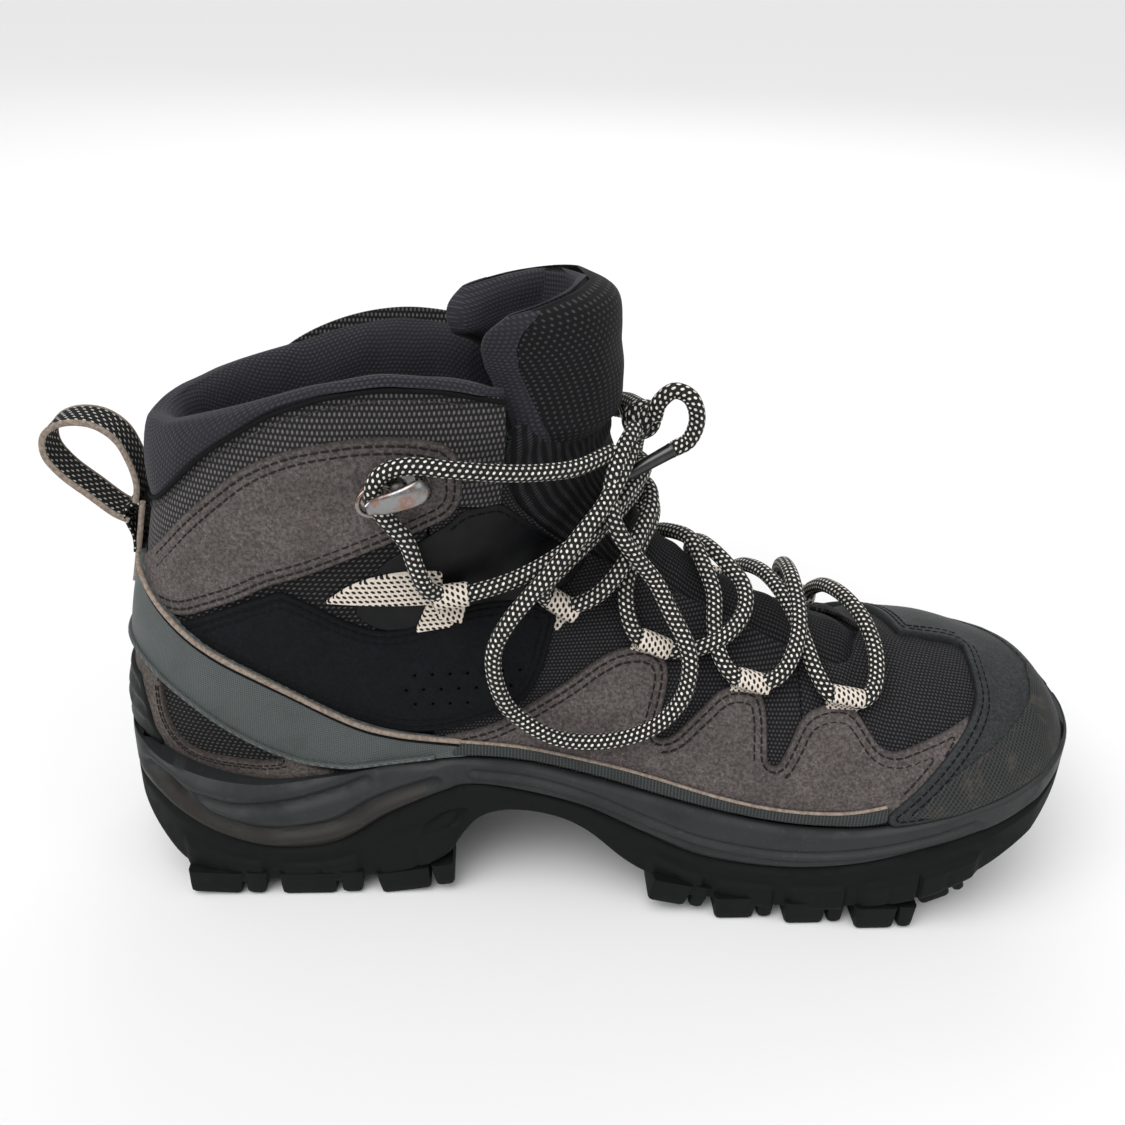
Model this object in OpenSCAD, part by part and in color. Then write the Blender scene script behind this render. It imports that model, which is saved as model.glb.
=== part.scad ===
/* [Upper] */
// Thickness of the mesh that the upper is built on
mesh_t = 1.6; // [1.2:0.1:2.0]
// Thickness of the suede, nubuck and toe cap sewn over the mesh
leather_t = 1.3; // [0.9:0.1:1.6]
// Thickness of the heel strap, heel guard and sole rand
strap_t = 1.1; // [0.8:0.1:1.4]
// Thickness of the membrane bootie and of the stiffeners
lining_t = 1.0; // [0.8:0.1:1.1]

/* [Tongue and collar] */
// Thickness of the padded tongue top
tongue_t = 10; // [8:0.5:11]
// How far the collar lining puffs out past the mesh
puff_t = 2.2; // [1:0.2:3]

/* [Sole] */
// How far the sole stands out past the upper
sole_edge = 3.4; // [2.5:0.1:4.5]
// Depth of the lugs
lug_h = 5; // [4:0.5:6]
// Thickness of the removable sockliner
sockliner_t = 4; // [3:0.5:5]

/* [Laces] */
// Diameter of the lace
lace_d = 5; // [4.5:0.1:5]
// Width of the lace loops' webbing
loop_w = 10; // [8:0.5:11]
// Width of the pull loop's webbing
pull_w = 13; // [11:0.5:15]

/* [Hidden] */

// Everything is drawn with the heel at X 0 and the toe towards +X, medial side -Y, then moved so
// that the origin is the middle of the boot's box, on the ground.
origin_x = 139.74;
origin_y = -1.0;
far = 120;         // longer than any cut has to reach
gap = 0.15;        // half the gap left between neighbouring panels
layer = 0.05;      // gap between layers
rings_per_station = 1.5;
ring_sides = 26;

// The last: each station is a slanted section through the foot, from the sole or heel back
// [x, z] to the instep or toe top [x, z], then the ridge's y, the medial and lateral y, where
// along the section it is widest, how square it is below that, and above it, medial and lateral.
stations = [
  [298, 53, 298, 58, -13, -17, -9, .50, 2.0, 2.0, 2.0],
  [296, 48, 295, 62, -13, -30, 6, .40, 2.6, 2.0, 2.0],
  [290, 43, 287, 69, -13, -41, 19, .34, 3.0, 2.0, 2.0],
  [278, 36, 274, 73, -12, -50, 31, .28, 3.2, 2.0, 2.0],
  [261, 29, 257, 77, -10, -54, 42, .34, 3.4, 1.9, 1.9],
  [240, 26, 236, 80, -8, -55, 49, .36, 3.6, 1.7, 1.6],
  [215, 26, 213, 86, -6, -53, 52, .34, 3.8, 1.6, 1.3],
  [190, 27, 190, 95, -4, -49, 52, .29, 3.8, 1.55, 1.3],
  [165, 29, 170, 107, -2, -44, 49, .24, 3.8, 1.5, 1.35],
  [138, 33, 156, 119, -1, -39, 45, .20, 3.6, 1.5, 1.4],
  [105, 34, 149, 132, 0, -36, 42, .20, 3.4, 1.6, 1.5],
  [65, 30, 146, 145, 0, -36, 40, .25, 3.4, 1.8, 1.7],
  [24, 27, 146, 156, 0, -36, 39, .35, 3.0, 2.0, 2.0],
  [-2, 46, 147, 164, 0, -37, 39, .42, 2.6, 2.1, 2.1],
  [-2, 75, 147, 171, 0, -37, 39, .46, 2.4, 2.2, 2.2],
  [4, 105, 147, 178, 0, -37, 38, .48, 2.3, 2.2, 2.2],
  [9, 130, 147, 185, 0, -37, 37, .48, 2.3, 2.2, 2.2],
  [12, 152, 147, 192, 0, -38, 37, .48, 2.3, 2.2, 2.2],
  [13, 166, 147, 202, 0, -38, 37, .48, 2.3, 2.2, 2.2]];
last = len(stations) - 1;

// ---- curves and surfaces ----
function clamp(v, lo, hi) = min(max(v, lo), hi);

// A smooth curve through a list of points or stations, p from 0 to len - 1
function smooth(list, p) =
  let (n = len(list) - 1, c = clamp(p, 0, n - 0.00001), i = floor(c), f = c - i,
       b = list[i], d = list[i + 1],
       a = i == 0 ? 2 * b - d : list[i - 1],
       e = i >= n - 1 ? 2 * d - b : list[i + 2])
  0.5 * (2 * b + (d - a) * f + (2 * a - 5 * b + 4 * d - e) * f * f
         + (3 * b - a - 3 * d + e) * f * f * f);

// Half width along a section, from 0 at its ends to 1 at its widest
function bulge(t, widest, low, high) =
  t < widest ? pow(1 - pow(1 - t / widest, low), 1 / low)
             : pow(max(0, 1 - pow((t - widest) / (1 - widest), high)), 1 / high);

// A point on the last: turn 0 is the sole or heel line, 1 the instep line, lateral between
// them, medial from 1 back to 2
function last_point(s, turn) =
  let (w = turn <= 1 ? turn : 2 - turn, t = (1 - cos(180 * w)) / 2, a = smooth(stations, s),
       side = turn <= 1 ? a[6] : a[5], high = turn <= 1 ? a[10] : a[9])
  [a[0] + (a[2] - a[0]) * t, a[4] + (side - a[4]) * bulge(t, a[7], a[8], high),
   a[1] + (a[3] - a[1]) * t];

function wrap(turn) = turn < 0 ? turn + 2 : turn >= 2 ? turn - 2 : turn;

function last_offset(s, turn, out) =
  let (e = 0.02, s1 = clamp(s - 0.1, 0, last), s2 = clamp(s + 0.1, 0, last),
       along = last_point(s2, turn) - last_point(s1, turn),
       round = last_point(s, wrap(turn + e)) - last_point(s, wrap(turn - e)),
       n = cross(along, round))
  last_point(s, turn) + out * n / norm(n);

// A solid through a list of rings, each the same number of points
module loft(rings) {
  m = len(rings[0]);
  n = len(rings);
  points = [for (r = rings) each r];
  sides = [for (i = [0:n - 2]) for (j = [0:m - 1])
    let (a = i * m + j, b = i * m + (j + 1) % m) each [[a, b + m, b], [a, a + m, b + m]]];
  start = [for (j = [0:m - 1]) j];
  end = [for (j = [m - 1:-1:0]) (n - 1) * m + j];
  polyhedron(points, concat(sides, [start, end]), convexity = 8);
}

// The whole inside of the boot, grown by out all round
module last_body(out) {
  steps = last * rings_per_station;
  loft([for (i = [steps:-1:0]) [for (j = [0:ring_sides - 1])
    last_offset(i / rings_per_station, 2 * j / ring_sides, out)]]);
}

// A shell that follows the last from inner to outer
module shell(inner, outer) {
  difference() {
    last_body(outer);
    last_body(inner);
  }
}

// The space behind an outline drawn in side view, on both sides, or on one side of the middle
module slab(outline, side = 0) {
  low = side > 0 ? gap : -far;
  high = side < 0 ? -gap : far;
  translate([0, high, 0])
    rotate([90, 0, 0])
      linear_extrude(high - low)
        polygon(outline);
}

// A panel of the upper: a piece of shell cut to an outline in side view. The resize keeps its
// size; it makes the whole cut one mesh.
module panel(outline, inner, outer, side = 0) {
  resize([0, 0, 0])
    intersection() {
      shell(inner, outer);
      slab(outline, side);
    }
}

module at_origin() {
  translate([-origin_x, -origin_y, 0])
    children();
}

// ---- outlines in side view, [x, z] ----
// The throat that the tongue fills, from the top of the quarter down to the vamp
throat = [[115, 136], [127, 122], [138, 114.5], [154, 105], [174, 96], [198, 85], [214, 79],
  [222, 78.5], [228, 82], [232, 100], [200, 130], [170, 230], [114, 230], [114, 160]];
// The collar's rim and the seam under it
rim = [[-20, 151], [10, 151], [20, 155], [40, 163], [60, 170], [80, 174], [100, 172], [113, 168]];
seam = [[-20, 126], [8, 126], [14, 131], [20, 137], [33, 149], [51, 160], [66, 166.5], [81, 169],
  [97, 168.5], [113, 164]];
// Where the collar's mesh starts, under the ankle suede's top
collar_base = [[-20, 106], [6, 106], [20, 122], [40, 140], [58, 149], [80, 151], [92, 149],
  [96, 137], [112, 134]];
ankle_suede = [[2, 104], [14, 119], [22, 129], [32, 139], [41, 147], [50, 152], [58, 155],
  [74, 158], [88, 158], [97, 156], [101, 151], [101, 139], [98, 134], [87, 129], [73, 123],
  [57, 116], [46, 112.3], [38, 107.3], [29, 103], [19, 97.5], [2, 97.5]];
nubuck = [[12, 96.5], [19, 96], [29, 101.5], [38, 106], [50, 111], [58, 107], [66, 102], [77, 97], [87, 98],
  [97, 103], [108, 105], [120, 104], [129, 99], [127, 90], [125, 82], [121, 73], [113, 68],
  [95, 62], [81, 62], [60, 70], [40, 83], [27, 89], [12, 96]];
eyestay = [[92, 128], [101, 133], [112, 135], [126, 120.5], [136, 113], [131, 107], [120, 106],
  [108, 107], [100, 109]];
forefoot_suede = [[94, 60], [105, 62], [113, 65], [122, 71], [132, 77], [140, 83], [148, 87],
  [158, 87], [163, 83], [163, 77], [159, 61], [164, 62], [170, 68], [180, 77], [191, 76],
  [193, 70], [193, 57], [196, 56], [204, 70], [213, 72], [220, 71], [227, 62], [232, 61],
  [246, 65], [252, 66], [242, 56.5], [233, 48], [228, 43], [215, 39.5], [190, 40.5],
  [160, 46], [130, 50], [110, 53.5], [97, 54]];
heel_cup = [[-20, 82], [3, 80], [9, 77], [21, 70], [31, 62], [40, 56], [52, 50], [62, 47.5],
  [54, 45.9], [40, 43.6], [24, 45], [12, 47.6], [4, 49.7], [-20, 53.6]];
heel_window = [[10, 75], [21, 68], [31, 61], [41, 54], [46, 51], [40, 49.5], [29, 49.5], [21, 50],
  [16, 52], [12, 58], [10, 66]];
strap_outline = [[-20, 108], [6, 108], [14, 100], [27, 91], [40, 85], [50, 79], [60, 72],
  [70, 66], [81, 62.5], [96, 60], [96, 53], [80, 51.5], [66, 49], [52, 51], [40, 57], [31, 63],
  [21, 71], [9, 78], [3, 81], [-20, 81]];
guard_outline = [[-20, 70], [3, 70], [6, 62], [5, 50.4], [-20, 53.9]];
// Where the sole's top edge runs along the upper, heel to toe
feather = [[-20, 53], [4, 49], [12, 47], [24, 44.3], [40, 43], [60, 46.5], [78, 50.5], [95, 52.4],
  [106, 52.4], [122, 51], [140, 47.4], [158, 43.4], [176, 40], [200, 37.2], [222, 38.2], [242, 42.5],
  [256, 47], [268, 51], [280, 55.5], [290, 58.5], [320, 60.5]];
rand_top = [[230, 47], [217, 43.5], [198, 42.5], [179, 45], [159, 49.5], [138, 53], [119, 56.5],
  [100, 58.5]];
toe_cap_medial = [[229.5, 44], [234.5, 49], [243.5, 57], [251.5, 64], [255.5, 67.5], [259.5, 71],
  [263, 90], [320, 90], [320, 61], [290, 58.8], [280, 55.8], [268, 51.3], [256, 47.3],
  [242, 42.8], [231, 40.6]];
toe_cap_lateral = [[214, 39.5], [222, 52], [230, 64], [240, 74], [262, 90], [320, 90],
  [320, 61], [290, 58.8], [280, 55.8], [268, 51.3], [256, 47.3], [242, 42.8], [225, 39.2]];
bumper_outline = [[238, 42.5], [248, 51], [262, 57], [278, 63], [290, 66], [320, 67], [320, 61],
  [290, 59], [280, 56], [268, 51.5], [256, 47.5]];

// ---- sole ----
// Sections of the sole across the foot: x, medial y, lateral y, ground clearance of the lugs,
// the joint between outsole and midsole, and the midsole's top
sole_sections = [
  [-5.5, -6, 6, 36, 42, 52], [-5, -14, 14, 30, 41, 51.5], [-2, -23, 24, 22, 38, 50],
  [4, -30, 32, 13, 35, 48.5], [12, -35, 37, 5, 31, 46.5], [24, -38, 41, 0, 24, 44],
  [40, -39, 43, 0, 18.5, 42.5], [60, -39, 44, 0, 20, 46], [78, -39, 45, 2, 32, 50],
  [95, -39, 45, 9, 41, 52], [106, -39, 46, 19, 42.5, 52], [122, -40, 47, 21, 40, 50.5],
  [140, -43, 49, 17, 36, 47], [158, -46, 52, 8, 28, 43], [176, -50, 55, 1, 22, 39.5],
  [200, -54, 56, 0, 20.5, 36.5], [222, -57, 55, 2, 24, 37.5], [242, -58, 51, 6, 30.5, 42],
  [256, -57, 46, 12, 35, 46.5], [268, -55, 40, 20, 40, 50.5], [280, -50, 32, 29, 46, 55],
  [290, -43, 22, 39, 51, 58], [297, -34, 10, 47, 54, 59], [300.5, -24, -1, 52, 56, 59.5],
  [301.5, -17, -8, 53, 57, 59.5]];

// A band of the sole from one height to the next, sections with soft corners. The heights are
// columns of sole_sections, with rise added to the lower one and the sides moved in by inset.
module sole_band(low, high, rise, from, to, inset = 0) {
  steps = 38;
  n = len(sole_sections) - 1;
  loft([for (i = [0:steps]) let (q = smooth(sole_sections, n * i / steps))
    if (q[0] >= from && q[0] <= to)
      let (a = q[1] + inset, b = q[2] - inset, m = (a + b) / 2, z0 = min(q[low] + rise, q[high] - 1),
           z1 = q[high], dz = z1 - z0, w = (b - a) / 2)
      [for (p = [[-.90, 0], [.90, 0], [.985, .12], [1, .45], [.985, .9], [.96, 1], [-.96, 1],
        [-.985, .9], [-1, .45], [-.985, .12]]) [q[0], m + w * p[0], z0 + dz * p[1]]]]);
}

// The foam that fills the outsole's cup, and hangs from the midsole
module foam_core(grow) {
  difference() {
    union() {
      sole_band(3, 5, lug_h + 4 - grow, 4, 100, 4 - grow);
      sole_band(3, 5, lug_h + 4 - grow, 150, 292, 4 - grow);
    }
    translate([98 + grow, -far, 0])
      cube([54 - 2 * grow, 2 * far, 60]);
  }
}

arch_x = 122;      // where the two halves of the outsole meet, in the arch

// Lugs: a block at each place, turned to follow the sole
module lug(x, y, length, width, bottom, slope = 0, turn = 0) {
  translate([x, y, bottom])
    rotate([0, -slope, turn])
      translate([-length / 2, -width / 2, 0])
        cube([length, width, lug_h + 4]);
}

module outsole_heel() {
  color([0.08, 0.09, 0.10])
    at_origin()
      resize([0, 0, 0])
        difference() {
          union() {
            sole_band(3, 4, lug_h, -10, 150);
            for (side = [-1, 1]) {
              lug(14, side * 17, 10, 20, 4, -35, -side * 35);
              lug(27, side * 27, 13, 18, 0.8, -4);
              lug(55, side * 28, 17, 18, 0);
              lug(84, side * 28, 14, 18, 1.5, 8);
            }
            lug(8, 0, 9, 16, 6, -40);
            lug(38, 0, 12, 24, 0.2);
            lug(69, 0, 12, 24, 0.3);
          }
          foam_core(0.1);
          last_body(0.2);
          chassis_body(0.2);
          translate([84, -7, -1])
            cube([10, 14, 18]);
          translate([arch_x - gap, -far, -1])
            cube([60, 2 * far, 70]);
        }
}

module outsole_forefoot() {
  color([0.08, 0.09, 0.10])
    at_origin()
      resize([0, 0, 0])
        difference() {
          union() {
            sole_band(3, 4, lug_h, 90, 310);
            for (x = [168, 190, 212, 234])
              lug(x, -42 - (x - 168) * 0.10, 12, 17, x < 180 ? 4 : 0.2, x < 180 ? -14 : 0);
            for (x = [168, 190, 212, 234])
              lug(x, 44 - (x - 168) * 0.05, 12, 17, x < 180 ? 4 : 0.2, x < 180 ? -14 : 0);
            for (x = [179, 201, 223])
              lug(x, -2, 10, 34, 0.4);
            lug(245, -5, 9, 34, 2.5, 20);
            lug(254, -42, 12, 18, 6.5, 26);
            lug(252, 32, 12, 18, 5, 22);
            lug(266, -14, 10, 34, 13, 34);
            lug(275, -38, 10, 14, 21, 38);
            lug(271, 18, 10, 14, 16.5, 36);
            lug(285, -14, 8, 28, 28.5, 44);
          }
          foam_core(0.1);
          last_body(0.2);
          chassis_body(0.2);
          translate([arch_x + gap - 60, -far, -1])
            cube([60, 2 * far, 70]);
        }
}

module chassis_body(out) {
  hull()
    for (p = [[86, 24], [148, 28]])
      translate([p[0] - out, -p[1] - out, 27 - out])
        cube([8 + 2 * out, 2 * p[1] + 3 + 2 * out, 2.5 + 2 * out]);
}

// The stiff plate in the arch, between the foam and the board
module arch_chassis() {
  color([0.16, 0.17, 0.18])
    at_origin()
      difference() {
        chassis_body(0);
        for (x = [104, 120, 136])
          translate([x, 1.5, 20])
            cylinder(d = 9, h = 20, $fn = 32);
      }
}

module midsole() {
  color([0.18, 0.18, 0.19])
    at_origin()
      resize([0, 0, 0])
        difference() {
          union() {
            sole_band(4, 5, 0.1, -10, 310);
            foam_core(0);
          }
          last_body(0.1);
          chassis_body(0.2);
        }
}

// ---- inside ----
inside = [[-20, 10], [320, 10], [320, 240], [-20, 240]];

module insole_board() {
  color("tan")
    at_origin()
      resize([0, 0, 0])
        intersection() {
          shell(-2.8, -0.05);
          translate([-20, -far, 0])
            cube([340, 2 * far, 30]);
          slab([[-20, 0], [262, 0], [262, 30], [220, 28.9], [80, 28.9], [30, 30], [10, 60], [-20, 60]]);
        }
}

module sockliner() {
  color("dimgray")
    at_origin()
      resize([0, 0, 0])
        intersection() {
          last_body(-3.9);
          slab([[-20, 10], [320, 10], [320, 50], [285, 38 + sockliner_t / 2], [262, 31 + sockliner_t],
            [200, 29.9 + sockliner_t], [140, 31 + sockliner_t], [100, 33 + sockliner_t],
            [60, 30 + sockliner_t], [30, 30 + sockliner_t], [15, 36 + sockliner_t],
            [-20, 40 + sockliner_t]]);
        }
}

module bootie_lining() {
  color("darkslategray")
    at_origin()
      resize([0, 0, 0])
        difference() {
          intersection() {
            shell(-3.8, -3.8 + lining_t);
            slab([[-20, 38], [20, 35.5], [60, 35], [120, 38.5], [200, 35], [262, 37], [290, 44.5],
              [320, 50], [320, 110], [206, 110], [113, 132], [90, 118], [40, 108], [-20, 96]]);
          }
          slab(throat);
        }
}

module heel_counter() {
  color("gray")
    at_origin()
      panel([[-20, 32], [64, 32], [58, 60], [40, 84], [20, 92], [-20, 92]], -2.75, -1.7);
}

module toe_puff() {
  color("gray")
    at_origin()
      panel([[262, 38], [320, 38], [320, 100], [266, 100], [258, 70]], -2.75, -1.7);
}

module collar_padding() {
  color("khaki")
    at_origin()
      resize([0, 0, 0])
        difference() {
          intersection() {
            shell(-2.75, -1.7);
            slab(concat([[-20, 98], [40, 110], [90, 120], [112, 136]],
              [for (i = [len(seam) - 1:-1:0]) seam[i] - [0, 1]]));
          }
          slab(throat);
        }
}

module collar_lining() {
  color([0.17, 0.16, 0.20])
    at_origin()
      resize([0, 0, 0])
        difference() {
          union() {
            intersection() {
              shell(-3.8, -3.8 + lining_t);
              slab(concat([[-20, 97], [40, 109], [90, 119], [112, 133]],
                [for (i = [len(rim) - 1:-1:0]) rim[i]]));
            }
            intersection() {
              shell(-3.8, puff_t);
              slab(concat([for (p = seam) p + [0, 0.2]], [for (i = [len(rim) - 1:-1:0]) rim[i]]));
            }
          }
          slab(throat);
        }
}

// ---- the mesh that the upper is built on ----
module vamp_mesh() {
  color([0.14, 0.14, 0.16])
    at_origin()
      resize([0, 0, 0])
        difference() {
          intersection() {
            shell(-mesh_t, 0);
            slab([[204, 30.2], [320, 30.2], [320, 110], [204, 110]]);
          }
          slab(throat);
        }
}

module quarter_mesh(side) {
  color([0.14, 0.14, 0.16])
    at_origin()
      resize([0, 0, 0])
        difference() {
          intersection() {
            shell(-mesh_t, 0);
            slab([[92, 30.2], [203.7, 30.2], [203.7, 110], [113, 150], [112, 133.7], [96, 136.7],
              [92, 137]], side);
          }
          slab(throat);
        }
}

module quarter_mesh_medial() {
  quarter_mesh(-1);
}

module quarter_mesh_lateral() {
  quarter_mesh(1);
}

module heel_mesh() {
  color([0.13, 0.13, 0.15])
    at_origin()
      panel(concat([[-20, 30.2], [91.7, 30.2], [91.7, 148.7], [80, 150.7], [58, 148.7], [40, 139.7],
        [20, 121.7], [6, 105.7], [-20, 105.7]]), -mesh_t, 0);
}

module collar_mesh() {
  color([0.16, 0.16, 0.17])
    at_origin()
      resize([0, 0, 0])
        difference() {
          intersection() {
            shell(-mesh_t, 0);
            slab(concat(collar_base, [for (i = [len(seam) - 1:-1:0]) seam[i]]));
          }
          slab(throat);
        }
}

// ---- overlays ----
module ankle_suede_medial() {
  color([0.41, 0.38, 0.37])
    at_origin()
      panel(ankle_suede, layer, layer + leather_t, -1);
}

module ankle_suede_lateral() {
  color([0.41, 0.38, 0.37])
    at_origin()
      panel(ankle_suede, layer, layer + leather_t, 1);
}

module nubuck_quarter_medial() {
  color([0.08, 0.09, 0.11])
    at_origin()
      panel(nubuck, layer, layer + leather_t, -1);
}

module nubuck_quarter_lateral() {
  color([0.08, 0.09, 0.11])
    at_origin()
      panel(nubuck, layer, layer + leather_t, 1);
}

module eyestay_film_medial() {
  color([0.03, 0.03, 0.05])
    at_origin()
      panel(eyestay, layer, layer + 0.8, -1);
}

module eyestay_film_lateral() {
  color([0.03, 0.03, 0.05])
    at_origin()
      panel(eyestay, layer, layer + 0.8, 1);
}

module forefoot_suede_medial() {
  color([0.40, 0.37, 0.35])
    at_origin()
      panel(forefoot_suede, layer, layer + leather_t, -1);
}

module forefoot_suede_lateral() {
  color([0.40, 0.37, 0.35])
    at_origin()
      resize([0, 0, 0])
        difference() {
          panel(forefoot_suede, layer, layer + leather_t, 1);
          slab(toe_cap_lateral);
        }
}

module heel_cup_suede() {
  color([0.36, 0.33, 0.31])
    at_origin()
      resize([0, 0, 0])
        difference() {
          panel(heel_cup, layer, layer + leather_t);
          slab(heel_window);
        }
}

module heel_strap() {
  color([0.30, 0.35, 0.33])
    at_origin()
      panel(strap_outline, layer * 2 + leather_t, layer * 2 + leather_t + strap_t);
}

module heel_guard() {
  color([0.08, 0.09, 0.10])
    at_origin()
      panel(guard_outline, layer * 2 + leather_t, layer * 2 + leather_t + strap_t);
}

module rand(side) {
  color([0.28, 0.31, 0.30])
    at_origin()
      panel(concat([for (p = feather) if (p[0] > 96 && p[0] < 232) p + [0, 1.2]], rand_top),
        layer * 2 + leather_t, layer * 2 + leather_t + strap_t * 0.7, side);
}

module rand_medial() {
  rand(-1);
}

module rand_lateral() {
  rand(1);
}

module toe_cap() {
  color([0.12, 0.13, 0.14])
    at_origin()
      resize([0, 0, 0])
        intersection() {
          shell(layer, layer + leather_t);
          union() {
            translate([0, -13, 0])
              slab(toe_cap_medial, -1);
            translate([0, -13.5, 0])
              slab(toe_cap_lateral, 1);
          }
        }
}

module toe_bumper() {
  color([0.10, 0.11, 0.11])
    at_origin()
      panel(bumper_outline, layer * 2 + leather_t, layer * 2 + leather_t + strap_t);
}

// ---- tongue ----
module tongue_lower() {
  color([0.13, 0.13, 0.15])
    at_origin()
      resize([0, 0, 0])
        difference() {
          intersection() {
            shell(-6, -0.4);
            slab([[116, 137.5], [127.5, 123.5], [138.6, 116], [154.6, 106.5], [174.5, 97.5],
              [198.5, 86.5], [214.4, 80.5], [222, 80], [226, 82.5], [230, 100], [200, 130],
              [160, 159.5], [147.5, 159.5], [116, 156]]);
          }
        }
}

// The thin fold that joins the tongue to the quarter and keeps water out
module gusset(side) {
  color([0.12, 0.12, 0.14])
    at_origin()
      panel([[112, 118], [125, 111], [152, 97], [172, 88], [196, 78], [196, 83], [174, 93],
        [154, 101.5], [138, 111], [126, 118.5], [112, 128]], -2.7, -1.75, side);
}

module gusset_medial() {
  gusset(-1);
}

module gusset_lateral() {
  gusset(1);
}

// The tongue's top stands above the laces: a padded sheet bent round the shin, with a crown
tongue_z0 = 160.5;
tongue_front = 148;
// Height, half angle it is bent round, how far its front leans back, how much its edges fall
tongue_levels = [[160.6, 100, 0, 0], [164, 102, 0, 0], [170, 108, 0, .1], [176.5, 116, 0.3, .3],
  [183, 120, 0.8, .5], [189, 112, 2.5, .6], [193.5, 88, 6, .7]];

tongue_r = 27;

// A point of the tongue's top at a level and an angle round it, in deep below its outer face.
// The foot rises towards its edges, to clear the tongue below it, and the crown falls.
function tongue_point(level, angle, deep) =
  let (back = tongue_r * (1 - cos(angle)),
       z = level[0] + (level[0] < tongue_z0 + 1 ? 0.09 * back : -0.3 * back * level[3]))
  [tongue_front - level[2] - tongue_r + (tongue_r - deep) * cos(angle),
   (tongue_r - deep) * sin(angle), z];

module tongue_body(inner, outer) {
  sides = 8;
  loft([for (q = tongue_levels) let (spread = q[1])
    concat(
      [for (k = [-sides:sides]) tongue_point(q, spread * k / sides, outer)],
      [for (k = [sides:-1:-sides]) tongue_point(q, spread * k / sides, inner)])]);
}

module tongue_top() {
  color([0.13, 0.13, 0.14])
    at_origin()
      tongue_body(tongue_t - 2.1, 0);
}

module tongue_top_lining() {
  color([0.17, 0.16, 0.20])
    at_origin()
      tongue_body(tongue_t, tongue_t - 2);
}

// ---- lacing ----
// Where the webbing loops hold the lace, from the toe up: x, medial y, lateral y, z and the
// lace's slope
loop_places = [[217, -38.5, 26, 75, 12], [188, -36.5, 30.5, 79.5, 18], [158, -31, 31.5, 89.5, 25],
  [130, -30, 32.5, 102.5, 35]];

module lace_loop(p, side) {
  translate([p[0], side < 0 ? p[1] : p[2], p[3]])
    rotate([0, p[4], 0])
      translate([-loop_w / 2, 0, 0])
        rotate([90, 0, 90])
          linear_extrude(loop_w)
            circle(d = lace_d + 2.2, $fn = 24);
  w = loop_w / 2;
  a = tan(p[4]) * w;
  panel([[p[0] - w, p[3] + a - 4], [p[0] - w, p[3] + a + 1], [p[0] + w, p[3] - a + 1],
    [p[0] + w, p[3] - a - 4]], layer, layer + 1.2, side);
}

module lace_loops(side) {
  resize([0, 0, 0])
    difference() {
      union()
        for (p = loop_places)
          lace_loop(p, side);
      for (p = loop_places)
        translate([p[0], side < 0 ? p[1] : p[2], p[3]])
          rotate([0, p[4] + 90, 0])
            cylinder(d = lace_d + 0.5, h = 3 * loop_w, center = true, $fn = 24);
      last_body(0.04);
      for (outline = [forefoot_suede, nubuck, eyestay])
        panel(outline, 0, 2 * layer + leather_t, side);
    }
}

module lace_loops_medial() {
  color([0.90, 0.86, 0.80])
    at_origin()
      lace_loops(-1);
}

module lace_loops_lateral() {
  color([0.90, 0.86, 0.80])
    at_origin()
      lace_loops(1);
}

// The ankle loop: an eye for the lace and two webbing legs sewn into the quarter
module ankle_loop(side) {
  color([0.90, 0.86, 0.80])
    at_origin() {
      translate([98, side < 0 ? -39.5 : 41.8, 111])
        rotate([0, -8, 0])
          translate([-5, 0, 0])
            rotate([90, 0, 90])
              linear_extrude(10)
                difference() {
                  circle(d = lace_d + 2.2, $fn = 40);
                  circle(d = lace_d + 0.3, $fn = 40);
                }
      panel([[66, 112], [82, 117.5], [93, 114], [93, 108], [80, 110]], layer * 2 + leather_t,
        layer * 2 + leather_t + 0.9, side);
      panel([[92, 106.5], [101, 106.5], [95, 100], [90, 99]], layer * 2 + leather_t,
        layer * 2 + leather_t + 0.9, side);
    }
}

module ankle_loop_medial() {
  ankle_loop(-1);
}

module ankle_loop_lateral() {
  ankle_loop(1);
}

// The lace hook: a plate on the suede, a post and a lip that the lace lies behind
hook_place = [84, 39, 144];
hook_out = [0, 1];   // how much further out it sits, medial and lateral
module hook(side) {
  color([0.35, 0.35, 0.36])
    at_origin()
      translate([hook_place[0], side * (hook_place[1] + hook_out[side < 0 ? 0 : 1]), hook_place[2]])
        rotate([side * -90, 0, 0])
          rotate([0, 0, side * 20]) {
            hull()
              for (x = [-3, 3])
                translate([x, 0, 0])
                  cylinder(d = 10, h = 1.2, $fn = 48);
            cylinder(d = 4, h = 8, $fn = 32);
            translate([0, 0, 7])
              hull()
                for (x = [-1.5, 3])
                  translate([x, 0, 0])
                    cylinder(d = 8, h = 1.4, $fn = 48);
          }
}

module hook_medial() {
  hook(-1);
}

module hook_lateral() {
  hook(1);
}

module hook_rivets() {
  color([0.45, 0.45, 0.46])
    at_origin()
      for (side = [-1, 1])
        translate([hook_place[0], side * (hook_place[1] + hook_out[side < 0 ? 0 : 1] - 7.2), hook_place[2]])
          rotate([side * -90, 0, 0])
            cylinder(d = 7, h = 0.8, $fn = 32);
}

// ---- pull loop ----
module pull_loop_base() {
  color([0.12, 0.12, 0.13])
    at_origin()
      resize([0, 0, 0])
        intersection() {
          shell(layer * 2 + leather_t, 3.6);
          translate([-20, -pull_w / 2, 109])
            cube([40, pull_w, 14]);
        }
}

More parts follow.
